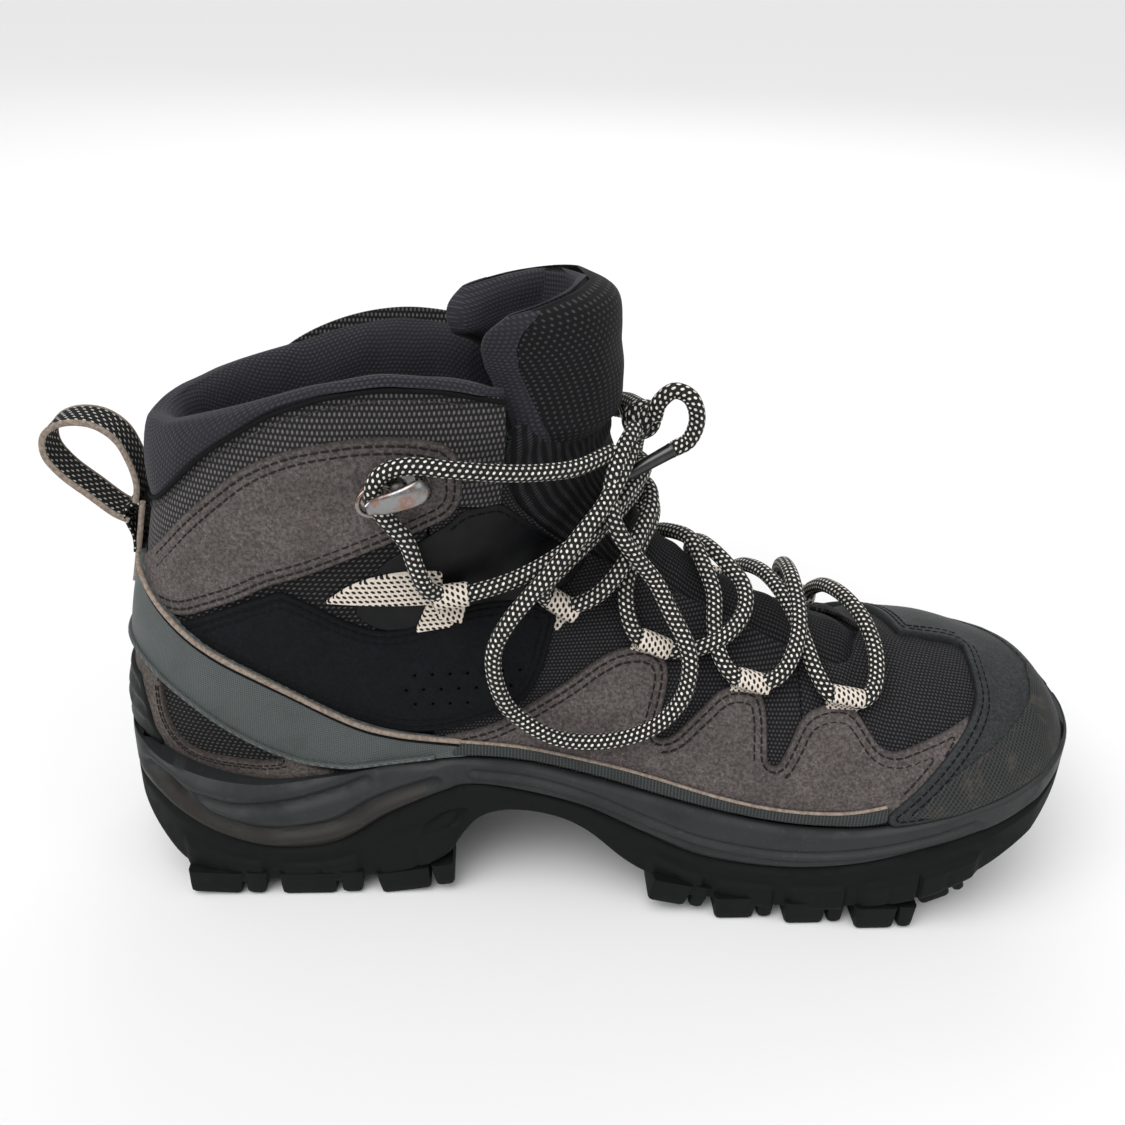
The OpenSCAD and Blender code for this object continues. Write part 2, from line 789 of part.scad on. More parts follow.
// A flat webbing swept along a line in side view
module webbing(line, thick, width) {
  steps = 4 * (len(line) - 1);
  pts = [for (i = [0:steps]) smooth(line, i / 4)];
  n = len(pts) - 1;
  dirs = [for (i = [0:n]) let (d = pts[min(i + 1, n)] - pts[max(i - 1, 0)]) d / norm(d)];
  left = [for (i = [0:n]) pts[i] + thick / 2 * [-dirs[i][1], dirs[i][0]]];
  right = [for (i = [n:-1:0]) pts[i] - thick / 2 * [-dirs[i][1], dirs[i][0]]];
  translate([0, width / 2, 0])
    rotate([90, 0, 0])
      linear_extrude(width)
        polygon(concat(left, right));
}

pull_line = [[0.5, 118], [-4, 120.5], [-10, 126], [-17, 132.5], [-21, 139], [-20, 145.5], [-14, 149],
  [-6, 148.5], [0, 144], [3, 137], [4.2, 130], [3.2, 124]];

module pull_loop() {
  color([0.12, 0.12, 0.13])
    at_origin()
      webbing(pull_line, 1.6, pull_w);
}

// ---- lace ----
// Frames carried along a route without twist, then a ring of points at each
function direction(pts, i) =
  let (d = pts[min(i + 1, len(pts) - 1)] - pts[max(i - 1, 0)]) d / norm(d);

function unit(v) = v / norm(v);

function carry(pts, i, side) =
  i >= len(pts) ? [] :
  let (d = direction(pts, i), u = unit(side - (side * d) * d))
  concat([u], carry(pts, i + 1, u));

module tube(line, d, sides = 8, per = 1.6) {
  n = round((len(line) - 1) * per);
  pts = [for (i = [0:n]) smooth(line, i * (len(line) - 1) / n)];
  d0 = direction(pts, 0);
  ups = carry(pts, 0, abs(d0[2]) < 0.9 ? cross(d0, [0, 0, 1]) : cross(d0, [1, 0, 0]));
  loft([for (i = [0:n]) let (t = direction(pts, i), u = ups[i], w = cross(t, u))
    [for (k = [0:sides - 1]) let (a = 360 * k / sides) pts[i] + d / 2 * (cos(a) * u + sin(a) * w)]]);
}

// The lace is one line. Its middle lies in the bottom bar, and each end crosses to the other side
// at every row, passes a webbing loop, then the ankle loop and the hook, and comes to the knot.
bar = [[222, -38.8, 74.2], [226.5, -35, 77], [228.5, -26, 83], [227, -15, 88.5], [223.5, -3, 90.5],
  [220.5, 9, 88], [219.5, 19, 81.5], [219.5, 25, 76]];
// From the medial bottom loop
end_a = [[217, -38.5, 75], [212, -38, 76.3], [208, -33.5, 81.5], [206, -27, 86.5], [204, -18, 91.5],
  [201, -9, 95.5], [197.5, 2, 96.5], [194, 13, 93.5], [192, 22, 87.5], [191, 28.5, 81],
  [188, 30.5, 79.5], [183.5, 31, 81.5], [178.5, 26, 90], [175.5, 17, 98], [175.5, 6, 106], [178.5, -4, 108],
  [183.5, -11, 105], [187, -16.5, 101.5], [186.5, -23, 97], [181.5, -28.5, 92.5], [174, -31.5, 89.5],
  [166, -31.8, 87.6],
  [158, -31, 89.5], [153, -30.3, 92], [150, -28.5, 98.5], [149.5, -25, 107], [153, -19.5, 116],
  [157.5, -11, 121.5], [158.5, -1, 123], [154.5, 9, 122.5], [146.5, 20, 119], [138, 29, 110],
  [130, 32.5, 102.5], [125.5, 34.5, 105.8], [125, 34.5, 113], [134, 28, 121], [144, 17, 130], [153.5, 5, 135.5],
  [155, -6, 136], [149, -17, 133.5], [140, -26.5, 127], [129, -33, 121], [118, -37, 116], [108, -39, 113],
  [98, -39.5, 111], [91.5, -42, 114.5], [88.5, -43, 122], [86, -43, 130], [80.5, -42.8, 137],
  [77.5, -42.8, 144], [80.5, -42.8, 150], [88, -43.5, 152.5], [99, -43.5, 151.5], [111, -39.5, 149],
  [122, -34.5, 147], [133, -28.5, 146], [144, -19, 147]];
// From the lateral bottom loop
end_b = [[217, 26, 75], [212.5, 28, 77], [209, 26, 83.5], [206.5, 16, 92], [205, 4, 98], [204.5, -8, 99],
  [204.5, -18, 95], [203, -27, 90], [199, -34, 84], [194, -37, 80.5],
  [188, -36.5, 79.5], [183, -36.2, 81], [178.5, -33, 86], [177, -26.5, 93], [177.5, -18.5, 100],
  [175, -10, 106], [172, -1, 110], [167, 9, 108], [163.5, 18.5, 103], [160.5, 27, 95],
  [158, 31.5, 89.5], [153, 33, 92], [147.5, 33, 99.5], [146.5, 28, 108.5], [149, 18, 118],
  [153, 7, 127], [157, -3, 129], [157, -12, 126], [153, -20, 121], [148.5, -26.5, 115], [142, -30.5, 108],
  [136, -31, 104],
  [130, -30, 102.5], [125.5, -31, 105], [124.5, -33, 110.5], [131, -31, 117.5], [140, -24.5, 124],
  [149, -14, 128.5], [154.5, -1, 130], [151.5, 12, 127.5], [142, 26, 121.5], [130, 36, 116.5],
  [119, 39.5, 114], [108, 41.5, 112.5],
  [98, 41.8, 111], [91.5, 43.8, 114.5], [88.5, 44.5, 122], [86, 44.5, 130], [80.5, 44, 137],
  [77.5, 43.9, 144], [80.5, 43.9, 150], [88, 44.5, 152.5], [99, 45, 152], [111, 41.5, 150],
  [123, 36.5, 149], [134, 29, 148.5], [144, 18, 149]];
lace_line = concat([for (i = [len(end_a) - 1:-1:0]) end_a[i]], bar, end_b);
knot_place = [154, -1, 150];

// The free loops and ends of the bow
bow_near = [[151, -12, 152], [147, -19, 148], [144, -25, 142], [143, -28, 135], [145, -30, 128],
  [150, -30, 120], [157, -30, 111], [162, -33, 102], [167, -37, 93], [168, -40, 85], [165, -43, 76],
  [156, -45, 68], [142, -45, 64], [128, -44, 65], [116, -43, 73], [111, -43, 83], [110, -43, 94],
  [114, -43, 104], [120, -42, 112], [127, -40, 120], [134, -36, 128], [141, -30, 135], [146, -24, 142],
  [150, -16, 148]];
bow_far = [[154, 2, 153], [151, 13, 151], [148, 23, 147], [146, 31, 140], [144, 37, 131], [143, 41, 120],
  [141, 43, 109], [137, 46, 98], [130, 48, 88], [121, 49, 80], [111, 49, 81], [105, 49, 90],
  [104, 48, 101], [108, 47, 111], [116, 46, 121], [126, 42, 130], [135, 35, 137], [143, 25, 144],
  [150, 12, 148]];
tail_near = [[157, -7, 153], [158, -8, 158], [162, -9, 162], [167, -10, 160], [169, -11, 154],
  [167, -12, 148], [162.5, -13, 145.5]];
tail_far = [[156, 2, 148], [157, 12, 147], [157, 21, 142], [157, 28, 134], [157, 33, 124],
  [158, 37, 113], [160, 40, 102], [162, 43, 92]];

module lace() {
  color([0.10, 0.10, 0.11])
    at_origin()
      tube(lace_line, lace_d, 8, 0.8);
}

module lace_knot() {
  color([0.10, 0.10, 0.11])
    at_origin()
      translate(knot_place) {
        rotate([90, 0, 20])
          rotate_extrude($fn = 40)
            translate([3, 0])
              circle(d = 5.4, $fn = 24);
        rotate([20, 70, 0])
          rotate_extrude($fn = 40)
            translate([3.4, 0])
              circle(d = 5.2, $fn = 24);
      }
}

module free_lace(line) {
  color([0.12, 0.12, 0.13])
    at_origin()
      tube(line, lace_d);
}

module bow_loop_near() {
  free_lace(bow_near);
}

module bow_loop_far() {
  free_lace(bow_far);
}

module lace_tail_near() {
  free_lace(tail_near);
}

module lace_tail_far() {
  free_lace(tail_far);
}

// A moulded tip from one point to the next
module aglet(from, to) {
  d = to - from;
  at_origin()
    translate(from)
      rotate([0, acos(d[2] / norm(d)), atan2(d[1], d[0])])
        cylinder(d1 = 4.6, d2 = 3.8, h = norm(d), $fn = 32);
}

module aglets() {
  color([0.06, 0.06, 0.06]) {
    aglet([162.3, -13.1, 145.4], [148, -17, 138.5]);
    aglet([162.1, 43.1, 91.8], [165, 46, 79]);
  }
}

outsole_heel();
outsole_forefoot();
midsole();
arch_chassis();
insole_board();
sockliner();
bootie_lining();
heel_counter();
toe_puff();
vamp_mesh();
quarter_mesh_medial();
quarter_mesh_lateral();
heel_mesh();
collar_mesh();
collar_padding();
collar_lining();
ankle_suede_medial();
ankle_suede_lateral();
nubuck_quarter_medial();
nubuck_quarter_lateral();
eyestay_film_medial();
eyestay_film_lateral();
forefoot_suede_medial();
forefoot_suede_lateral();
heel_cup_suede();
heel_strap();
heel_guard();
rand_medial();
rand_lateral();
toe_cap();
toe_bumper();
tongue_lower();
gusset_medial();
gusset_lateral();
tongue_top();
tongue_top_lining();
lace_loops_medial();
lace_loops_lateral();
ankle_loop_medial();
ankle_loop_lateral();
hook_medial();
hook_lateral();
hook_rivets();
pull_loop_base();
pull_loop();
lace();
lace_knot();
bow_loop_near();
bow_loop_far();
lace_tail_near();
lace_tail_far();
aglets();
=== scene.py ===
"""A mid-cut hiking boot. Lengths are millimetres in the last's own frame (heel at X 0, toe to +X,
medial side -Y) until metres() turns them into the model's frame."""
import math

import bmesh
import bpy
import numpy as np
from mathutils import Matrix, Vector
from mathutils.geometry import delaunay_2d_cdt


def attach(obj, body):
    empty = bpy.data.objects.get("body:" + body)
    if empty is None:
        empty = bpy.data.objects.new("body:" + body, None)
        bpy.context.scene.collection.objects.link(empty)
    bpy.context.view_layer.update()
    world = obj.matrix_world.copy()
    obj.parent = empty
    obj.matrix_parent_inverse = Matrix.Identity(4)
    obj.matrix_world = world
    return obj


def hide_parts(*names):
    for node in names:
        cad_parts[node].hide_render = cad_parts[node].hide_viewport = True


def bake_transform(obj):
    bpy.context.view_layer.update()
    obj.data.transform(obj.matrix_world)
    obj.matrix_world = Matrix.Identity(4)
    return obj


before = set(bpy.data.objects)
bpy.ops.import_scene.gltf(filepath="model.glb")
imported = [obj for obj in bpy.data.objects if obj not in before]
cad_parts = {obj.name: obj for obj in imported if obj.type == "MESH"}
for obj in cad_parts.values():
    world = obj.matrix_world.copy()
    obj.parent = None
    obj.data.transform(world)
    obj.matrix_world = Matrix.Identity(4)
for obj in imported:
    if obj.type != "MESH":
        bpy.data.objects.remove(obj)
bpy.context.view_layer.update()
ORIGIN = np.array([139.74, -1.0, 0.0])     # the model's origin, in the last's frame
BLUNT_X, BLUNT = 278, .3                   # from here forward the toe is shorter by this share


def metres(points):
    """Design millimetres in the model's frame, with the toe a little blunter than the last that
    the panels are drawn on."""
    points = np.array(points, float)
    points[..., 0] -= BLUNT * np.maximum(points[..., 0] - BLUNT_X, 0)
    return (points - ORIGIN) * 0.001


def running_length(line):
    """The distance along a line at each of its points."""
    return np.concatenate([[0], np.cumsum(np.linalg.norm(np.diff(line, axis=0), axis=1))])


# ---- camera, and a maker of area lights ----
def make_camera():
    yaw, pitch, roll = (math.radians(a) for a in (3.7, 27.8, 1.9))
    forward = Vector((math.sin(yaw) * math.cos(pitch), math.cos(yaw) * math.cos(pitch),
                      -math.sin(pitch)))
    level = Vector((math.cos(yaw), -math.sin(yaw), 0))
    upright = level.cross(forward)
    right = level * math.cos(roll) + upright * math.sin(roll)
    up = upright * math.cos(roll) - level * math.sin(roll)
    data = bpy.data.cameras.new("camera")
    data.sensor_width = 36
    data.lens = 38.4
    data.clip_start = 0.01
    camera = bpy.data.objects.new("camera", data)
    turn = Matrix((right, up, -forward)).transposed().to_4x4()
    camera.matrix_world = Matrix.Translation(metres([110, -337, 279])) @ turn
    bpy.context.collection.objects.link(camera)
    bpy.context.scene.camera = camera


def area_light(name, place, target, size, power):
    data = bpy.data.lights.new(name, "AREA")
    data.shape = "RECTANGLE"
    data.size, data.size_y = size
    data.energy = power
    light = bpy.data.objects.new(name, data)
    light.location = place
    light.rotation_euler = (Vector(target) - Vector(place)).to_track_quat("-Z", "Y").to_euler()
    bpy.context.collection.objects.link(light)


make_camera()

# ---- the last, as in the CAD source ----
# x and z of the sole or heel line, x and z of the instep or toe line, ridge y, medial and lateral
# y, where the section is widest, squareness below it and above it (medial, lateral)
STATIONS = np.array([
    [298, 53, 298, 58, -13, -17, -9, .50, 2.0, 2.0, 2.0],
    [296, 48, 295, 62, -13, -30, 6, .40, 2.6, 2.0, 2.0],
    [290, 43, 287, 69, -13, -41, 19, .34, 3.0, 2.0, 2.0],
    [278, 36, 274, 73, -12, -50, 31, .28, 3.2, 2.0, 2.0],
    [261, 29, 257, 77, -10, -54, 42, .34, 3.4, 1.9, 1.9],
    [240, 26, 236, 80, -8, -55, 49, .36, 3.6, 1.7, 1.6],
    [215, 26, 213, 86, -6, -53, 52, .34, 3.8, 1.6, 1.3],
    [190, 27, 190, 95, -4, -49, 52, .29, 3.8, 1.55, 1.3],
    [165, 29, 170, 107, -2, -44, 49, .24, 3.8, 1.5, 1.35],
    [138, 33, 156, 119, -1, -39, 45, .20, 3.6, 1.5, 1.4],
    [105, 34, 149, 132, 0, -36, 42, .20, 3.4, 1.6, 1.5],
    [65, 30, 146, 145, 0, -36, 40, .25, 3.4, 1.8, 1.7],
    [24, 27, 146, 156, 0, -36, 39, .35, 3.0, 2.0, 2.0],
    [-2, 46, 147, 164, 0, -37, 39, .42, 2.6, 2.1, 2.1],
    [-2, 75, 147, 171, 0, -37, 39, .46, 2.4, 2.2, 2.2],
    [4, 105, 147, 178, 0, -37, 38, .48, 2.3, 2.2, 2.2],
    [9, 130, 147, 185, 0, -37, 37, .48, 2.3, 2.2, 2.2],
    [12, 152, 147, 192, 0, -38, 37, .48, 2.3, 2.2, 2.2],
    [13, 166, 147, 202, 0, -38, 37, .48, 2.3, 2.2, 2.2]])
LAST = len(STATIONS) - 1


def smooth(rows, p):
    """A smooth curve through rows, p from 0 to len - 1."""
    rows = np.asarray(rows, float)
    p = np.asarray(p, float)
    n = len(rows) - 1
    c = np.clip(p, 0, n - 1e-5)
    i = np.floor(c).astype(int)
    f = (c - i)[..., None]
    b, d = rows[i], rows[i + 1]
    a = np.where((i == 0)[..., None], 2 * b - d, rows[np.maximum(i - 1, 0)])
    e = np.where((i >= n - 1)[..., None], 2 * d - b, rows[np.minimum(i + 2, n)])
    return 0.5 * (2 * b + (d - a) * f + (2 * a - 5 * b + 4 * d - e) * f ** 2
                  + (3 * b - a - 3 * d + e) * f ** 3)


def bulge(t, widest, low, high):
    under = np.clip(1 - t / widest, 0, 1)
    over = np.clip((t - widest) / (1 - widest), 0, 1)
    return np.where(t < widest, (1 - under ** low) ** (1 / low), (1 - over ** high) ** (1 / high))


def last_point(s, turn):
    """turn 0 is the sole or heel line, 1 the instep line, lateral between, medial from 1 to 2."""
    turn = np.mod(turn, 2)
    on_lateral = turn <= 1
    t = (1 - np.cos(np.pi * np.where(on_lateral, turn, 2 - turn))) / 2
    x0, z0, x1, z1, ridge, medial, lateral, widest, low, high_medial, high_lateral = np.moveaxis(
        smooth(STATIONS, s), -1, 0)
    side = np.where(on_lateral, lateral, medial)
    high = np.where(on_lateral, high_lateral, high_medial)
    y = ridge + (side - ridge) * bulge(t, widest, low, high)
    return np.stack([x0 + (x1 - x0) * t, y, z0 + (z1 - z0) * t], -1)


def unit(v):
    return v / np.maximum(np.linalg.norm(v, axis=-1, keepdims=True), 1e-9)


def last_normal(s, turn):
    along = last_point(np.minimum(s + .1, LAST), turn) - last_point(np.maximum(s - .1, 0), turn)
    around = last_point(s, turn + .02) - last_point(s, turn - .02)
    return unit(np.cross(along, around))


def locate(xz):
    """The s and turn (lateral) of side-view points."""
    x, z = xz[..., 0], xz[..., 1]
    low, high = np.zeros(x.shape), np.full(x.shape, float(LAST))
    for _ in range(24):
        s = (low + high) / 2
        x0, z0, x1, z1 = np.moveaxis(smooth(STATIONS, s)[..., :4], -1, 0)
        ahead = (x1 - x0) * (z - z0) > (z1 - z0) * (x - x0)
        low, high = np.where(ahead, s, low), np.where(ahead, high, s)
    bx, bz = x1 - x0, z1 - z0
    t = np.clip(((x - x0) * bx + (z - z0) * bz) / (bx ** 2 + bz ** 2), 0, 1)
    return s, np.arccos(1 - 2 * t) / np.pi


# ---- flat drawing planes for the panels ----
HEEL_S = np.linspace(12, LAST, 200)
HEEL_LINE = smooth(STATIONS, HEEL_S)
HEEL_R = 40.0                              # radius that the heel's plane is rolled round
QUARTER_ROUND = np.pi / 2 * HEEL_R
TOE_S = np.linspace(0, LAST, 400)
TOE_LENGTH = running_length(last_point(TOE_S, 0.6))
TOE_GIRTH = 95.0                           # half the toe plane's width


def heel_x(z):
    return np.interp(z, HEEL_LINE[:, 1], HEEL_LINE[:, 0])


def on_last(plane, flat):
    """The s and turn of flat points. The planes are medial and lateral (side view), heel (unrolled
    round the heel: distance round, height) and toe (unrolled over the instep)."""
    flat = np.asarray(flat, float)
    if plane == "lateral":
        return locate(flat)
    if plane == "medial":
        s, turn = locate(flat)
        return s, 2 - turn
    if plane == "heel":
        round_, z = np.abs(flat[..., 0]), flat[..., 1]
        back = np.where(round_ < QUARTER_ROUND,
                        HEEL_R * (1 - np.cos(np.minimum(round_, QUARTER_ROUND) / HEEL_R)),
                        HEEL_R + round_ - QUARTER_ROUND)
        s, turn = locate(np.stack([heel_x(z) + back, z], -1))
        return s, np.where(flat[..., 0] >= 0, turn, 2 - turn)
    s = np.interp(flat[..., 0], TOE_LENGTH, TOE_S)
    across = np.clip(np.abs(flat[..., 1]) / TOE_GIRTH, 0, 1)
    return s, np.where(flat[..., 1] >= 0, 1 - across, 1 + across)


def to_heel(points, side=1):
    """Side-view points in the heel's plane. Points behind the heel land on its middle line."""
    points = np.asarray(points, float)
    back = np.maximum(points[:, 0] - heel_x(points[:, 1]), 0)
    round_ = np.where(back < HEEL_R, HEEL_R * np.arccos(np.clip(1 - back / HEEL_R, -1, 1)),
                      back - HEEL_R + QUARTER_ROUND)
    return np.stack([side * round_, points[:, 1]], -1)


def to_toe(points, side=1):
    s, turn = locate(np.asarray(points, float))
    return np.stack([np.interp(s, TOE_S, TOE_LENGTH), side * TOE_GIRTH * (1 - turn)], -1)


def round_heel(chain):
    """A chain from the heel line forward and back to it, mirrored into one outline."""
    return np.concatenate([to_heel(chain, 1), to_heel(chain, -1)[::-1]])


def surface(plane, flat):
    s, turn = on_last(plane, flat)
    return last_point(s, turn), last_normal(s, turn)


def raised(plane, flat, height):
    """Flat points laid on the last and lifted off it."""
    point, normal = surface(plane, flat)
    return point + normal * height


# ---- outlines ----
SHARP, GENTLE_R = 48, 40                   # degrees a sharp corner turns, radius of a gentle one


def rounded(points, radius=2.0, closed=True):
    """Corners rounded: sharp ones by radius, gentle ones as far as their edges allow."""
    points = np.asarray(points, float)
    keep = np.linalg.norm(points - np.roll(points, 1, 0), axis=1) > 0.05
    keep[0] |= not closed
    points = points[keep]
    n = len(points)
    out = []
    for i in range(n):
        cur = points[i]
        if not closed and i in (0, n - 1):
            out.append(cur[None])
            continue
        a, b = points[i - 1] - cur, points[(i + 1) % n] - cur
        la, lb = np.linalg.norm(a), np.linalg.norm(b)
        bend = math.degrees(math.acos(np.clip(-(a @ b) / (la * lb), -1, 1)))
        r = min(0.48 * la, 0.48 * lb, radius if bend > SHARP else GENTLE_R)
        f = np.linspace(0, 1, 7)[:, None]
        start, end = cur + a / la * r, cur + b / lb * r
        out.append((1 - f) ** 2 * start + 2 * f * (1 - f) * cur + f ** 2 * end)
    return resample(np.concatenate(out), 1.0, closed)


def resample(line, step, closed=False):
    line = np.asarray(line, float)
    if closed:
        line = np.concatenate([line, line[:1]])
    length = running_length(line)
    count = max(3, int(round(length[-1] / step)))
    places = np.linspace(0, length[-1], count + 1)
    if closed:
        places = places[:-1]
    return np.stack([np.interp(places, length, line[:, k]) for k in range(line.shape[1])], -1)


def inside(points, outline):
    x, y = points[:, 0][:, None], points[:, 1][:, None]
    ax, ay = outline[:, 0], outline[:, 1]
    bx, by = np.roll(ax, -1), np.roll(ay, -1)
    crosses = (ay > y) != (by > y)
    with np.errstate(divide="ignore", invalid="ignore"):
        at = (bx - ax) * (y - ay) / (by - ay) + ax
    return (crosses & (x < at)).sum(1) % 2 == 1


def distance(points, line, closed=True):
    """Shortest distance from points to a polyline, in two or three dimensions."""
    a = line if closed else line[:-1]
    b = np.roll(line, -1, 0) if closed else line[1:]
    ab = b - a
    square = np.maximum((ab ** 2).sum(1), 1e-12)
    best = np.empty(len(points))
    batch = 2000
    for i in range(0, len(points), batch):
        p = points[i:i + batch, None]
        t = np.clip(((p - a) * ab).sum(-1) / square, 0, 1)
        best[i:i + batch] = np.sqrt((((p - a) - t[..., None] * ab) ** 2).sum(-1).min(1))
    return best


def inset(outline, d):
    """Points d inside a closed outline, in order, without those that corners overrun."""
    after = np.roll(outline, -1, 0)
    turn = (outline[:, 0] * after[:, 1] - after[:, 0] * outline[:, 1]).sum()
    way = unit(after - np.roll(outline, 1, 0))
    normal = np.stack([-way[:, 1], way[:, 0]], -1) * (1 if turn > 0 else -1)
    moved = outline + normal * d
    return moved[distance(moved, outline) > abs(d) * 0.97 - 1e-6]


# ---- meshes ----
def link_mesh(name, points, faces, material, slot, body="root", uv=None, smooth_angle=50,
              layers=None):
    """A piece of one material. layers are named numbers at the points, for the material."""
    mesh = bpy.data.meshes.new(name)
    mesh.from_pydata([tuple(p) for p in metres(points)], [],
                     [tuple(int(i) for i in f) for f in faces])
    mesh.validate()
    if uv is not None:
        index = np.empty(len(mesh.loops), int)
        mesh.loops.foreach_get("vertex_index", index)
        layer = mesh.uv_layers.new(name="UVMap")
        layer.data.foreach_set("uv", np.asarray(uv, float)[index].ravel())
    for key, values in (layers or {}).items():
        layer = mesh.attributes.new(key, "FLOAT", "POINT")
        layer.data.foreach_set("value", np.asarray(values, float))
    mesh.shade_smooth()
    mesh.set_sharp_from_angle(angle=math.radians(smooth_angle))
    mesh.materials.append(material)
    piece = bpy.data.objects.new(name, mesh)
    bpy.context.collection.objects.link(piece)
    if body:
        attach(piece, body)
    return piece


def weld(piece):
    """Joins points that coincide and turns every face outwards."""
    bm = bmesh.new()
    bm.from_mesh(piece.data)
    bmesh.ops.remove_doubles(bm, verts=bm.verts, dist=1e-6)
    bmesh.ops.recalc_face_normals(bm, faces=bm.faces)
    bm.to_mesh(piece.data)
    bm.free()


def grid_faces(rows, columns, wrap):
    """Quads over rows of points; wrap joins each row's end to its start."""
    last = columns if wrap else columns - 1
    i, j = np.meshgrid(np.arange(rows - 1), np.arange(last), indexing="ij")
    a = i * columns + j
    b = i * columns + (j + 1) % columns
    return np.stack([a, b, b + columns, a + columns], -1).reshape(-1, 4).tolist()


def capped_faces(rows, columns):
    """The faces over closed rings of points, with a face across the first and the last."""
    return grid_faces(rows, columns, True) + [
        list(range(columns))[::-1], list(range((rows - 1) * columns, rows * columns))]


def closed_form(name, rings, material, slot, **settings):
    """A solid piece through closed rings of points."""
    rings = np.asarray(rings, float)
    piece = link_mesh(name, rings.reshape(-1, 3), capped_faces(*rings.shape[:2]), material, slot,
                      **settings)
    weld(piece)
    return piece


def wobble(points, size, seed):
    """Smooth noise of about unit height, from waves in fixed directions."""
    random = np.random.default_rng(seed)
    total = np.zeros(points.shape[:-1])
    for _ in range(7):
        way = unit(random.normal(size=3)) * 2 * np.pi / size * random.uniform(.6, 1.5)
        total += np.sin(points @ way + random.uniform(0, 6.28))
    return total / 3


def carried(line):
    """Two untwisted vectors across a line, at each of its points."""
    ways = unit(np.gradient(line, axis=0))
    side = np.cross(ways[0], [0, 0, 1.0] if abs(ways[0][2]) < .9 else [1.0, 0, 0])
    sides = []
    for way in ways:
        side = side - (side @ way) * way
        side = side / np.linalg.norm(side)
        sides.append(side)
    sides = np.array(sides)
    return sides, np.cross(ways, sides)


LACE_SIDES, TURNED_SIDES, STITCH_SIDES = 16, 28, 6


def lace_tube(name, route, diameter, material, slot, step=1.1):
    """A round lace along a route, with its length in mm as U and the turn round it as V."""
    line = resample(smooth(route, np.linspace(0, len(route) - 1, 12 * len(route))), step)
    side, other = carried(line)
    angle = np.linspace(0, 2 * np.pi, LACE_SIDES + 1)
    ring = side[:, None] * np.cos(angle)[:, None] + other[:, None] * np.sin(angle)[:, None]
    points = line[:, None] + diameter / 2 * ring
    rows, columns = points.shape[:2]
    length = running_length(line)
    uv = np.stack(np.meshgrid(length, angle / (2 * np.pi), indexing="ij"), -1).reshape(-1, 2)
    ends = [list(range(LACE_SIDES))[::-1],
            [(rows - 1) * columns + j for j in range(LACE_SIDES)]]
    piece = link_mesh(name, points.reshape(-1, 3), grid_faces(rows, columns, False) + ends,
                      material, slot, uv=uv)
    weld(piece)
    return piece, line, float(length[-1])


# ---- materials ----
def srgb(*levels):
    return tuple(((c / 255 + .055) / 1.055) ** 2.4 if c > 10 else c / 255 / 12.92
                 for c in levels) + (1,)


def grey(level):
    return srgb(level, level, level)


def times(colour, share):
    """A colour made darker or lighter."""
    return tuple(min(1, c * share) for c in colour[:3]) + (1,)


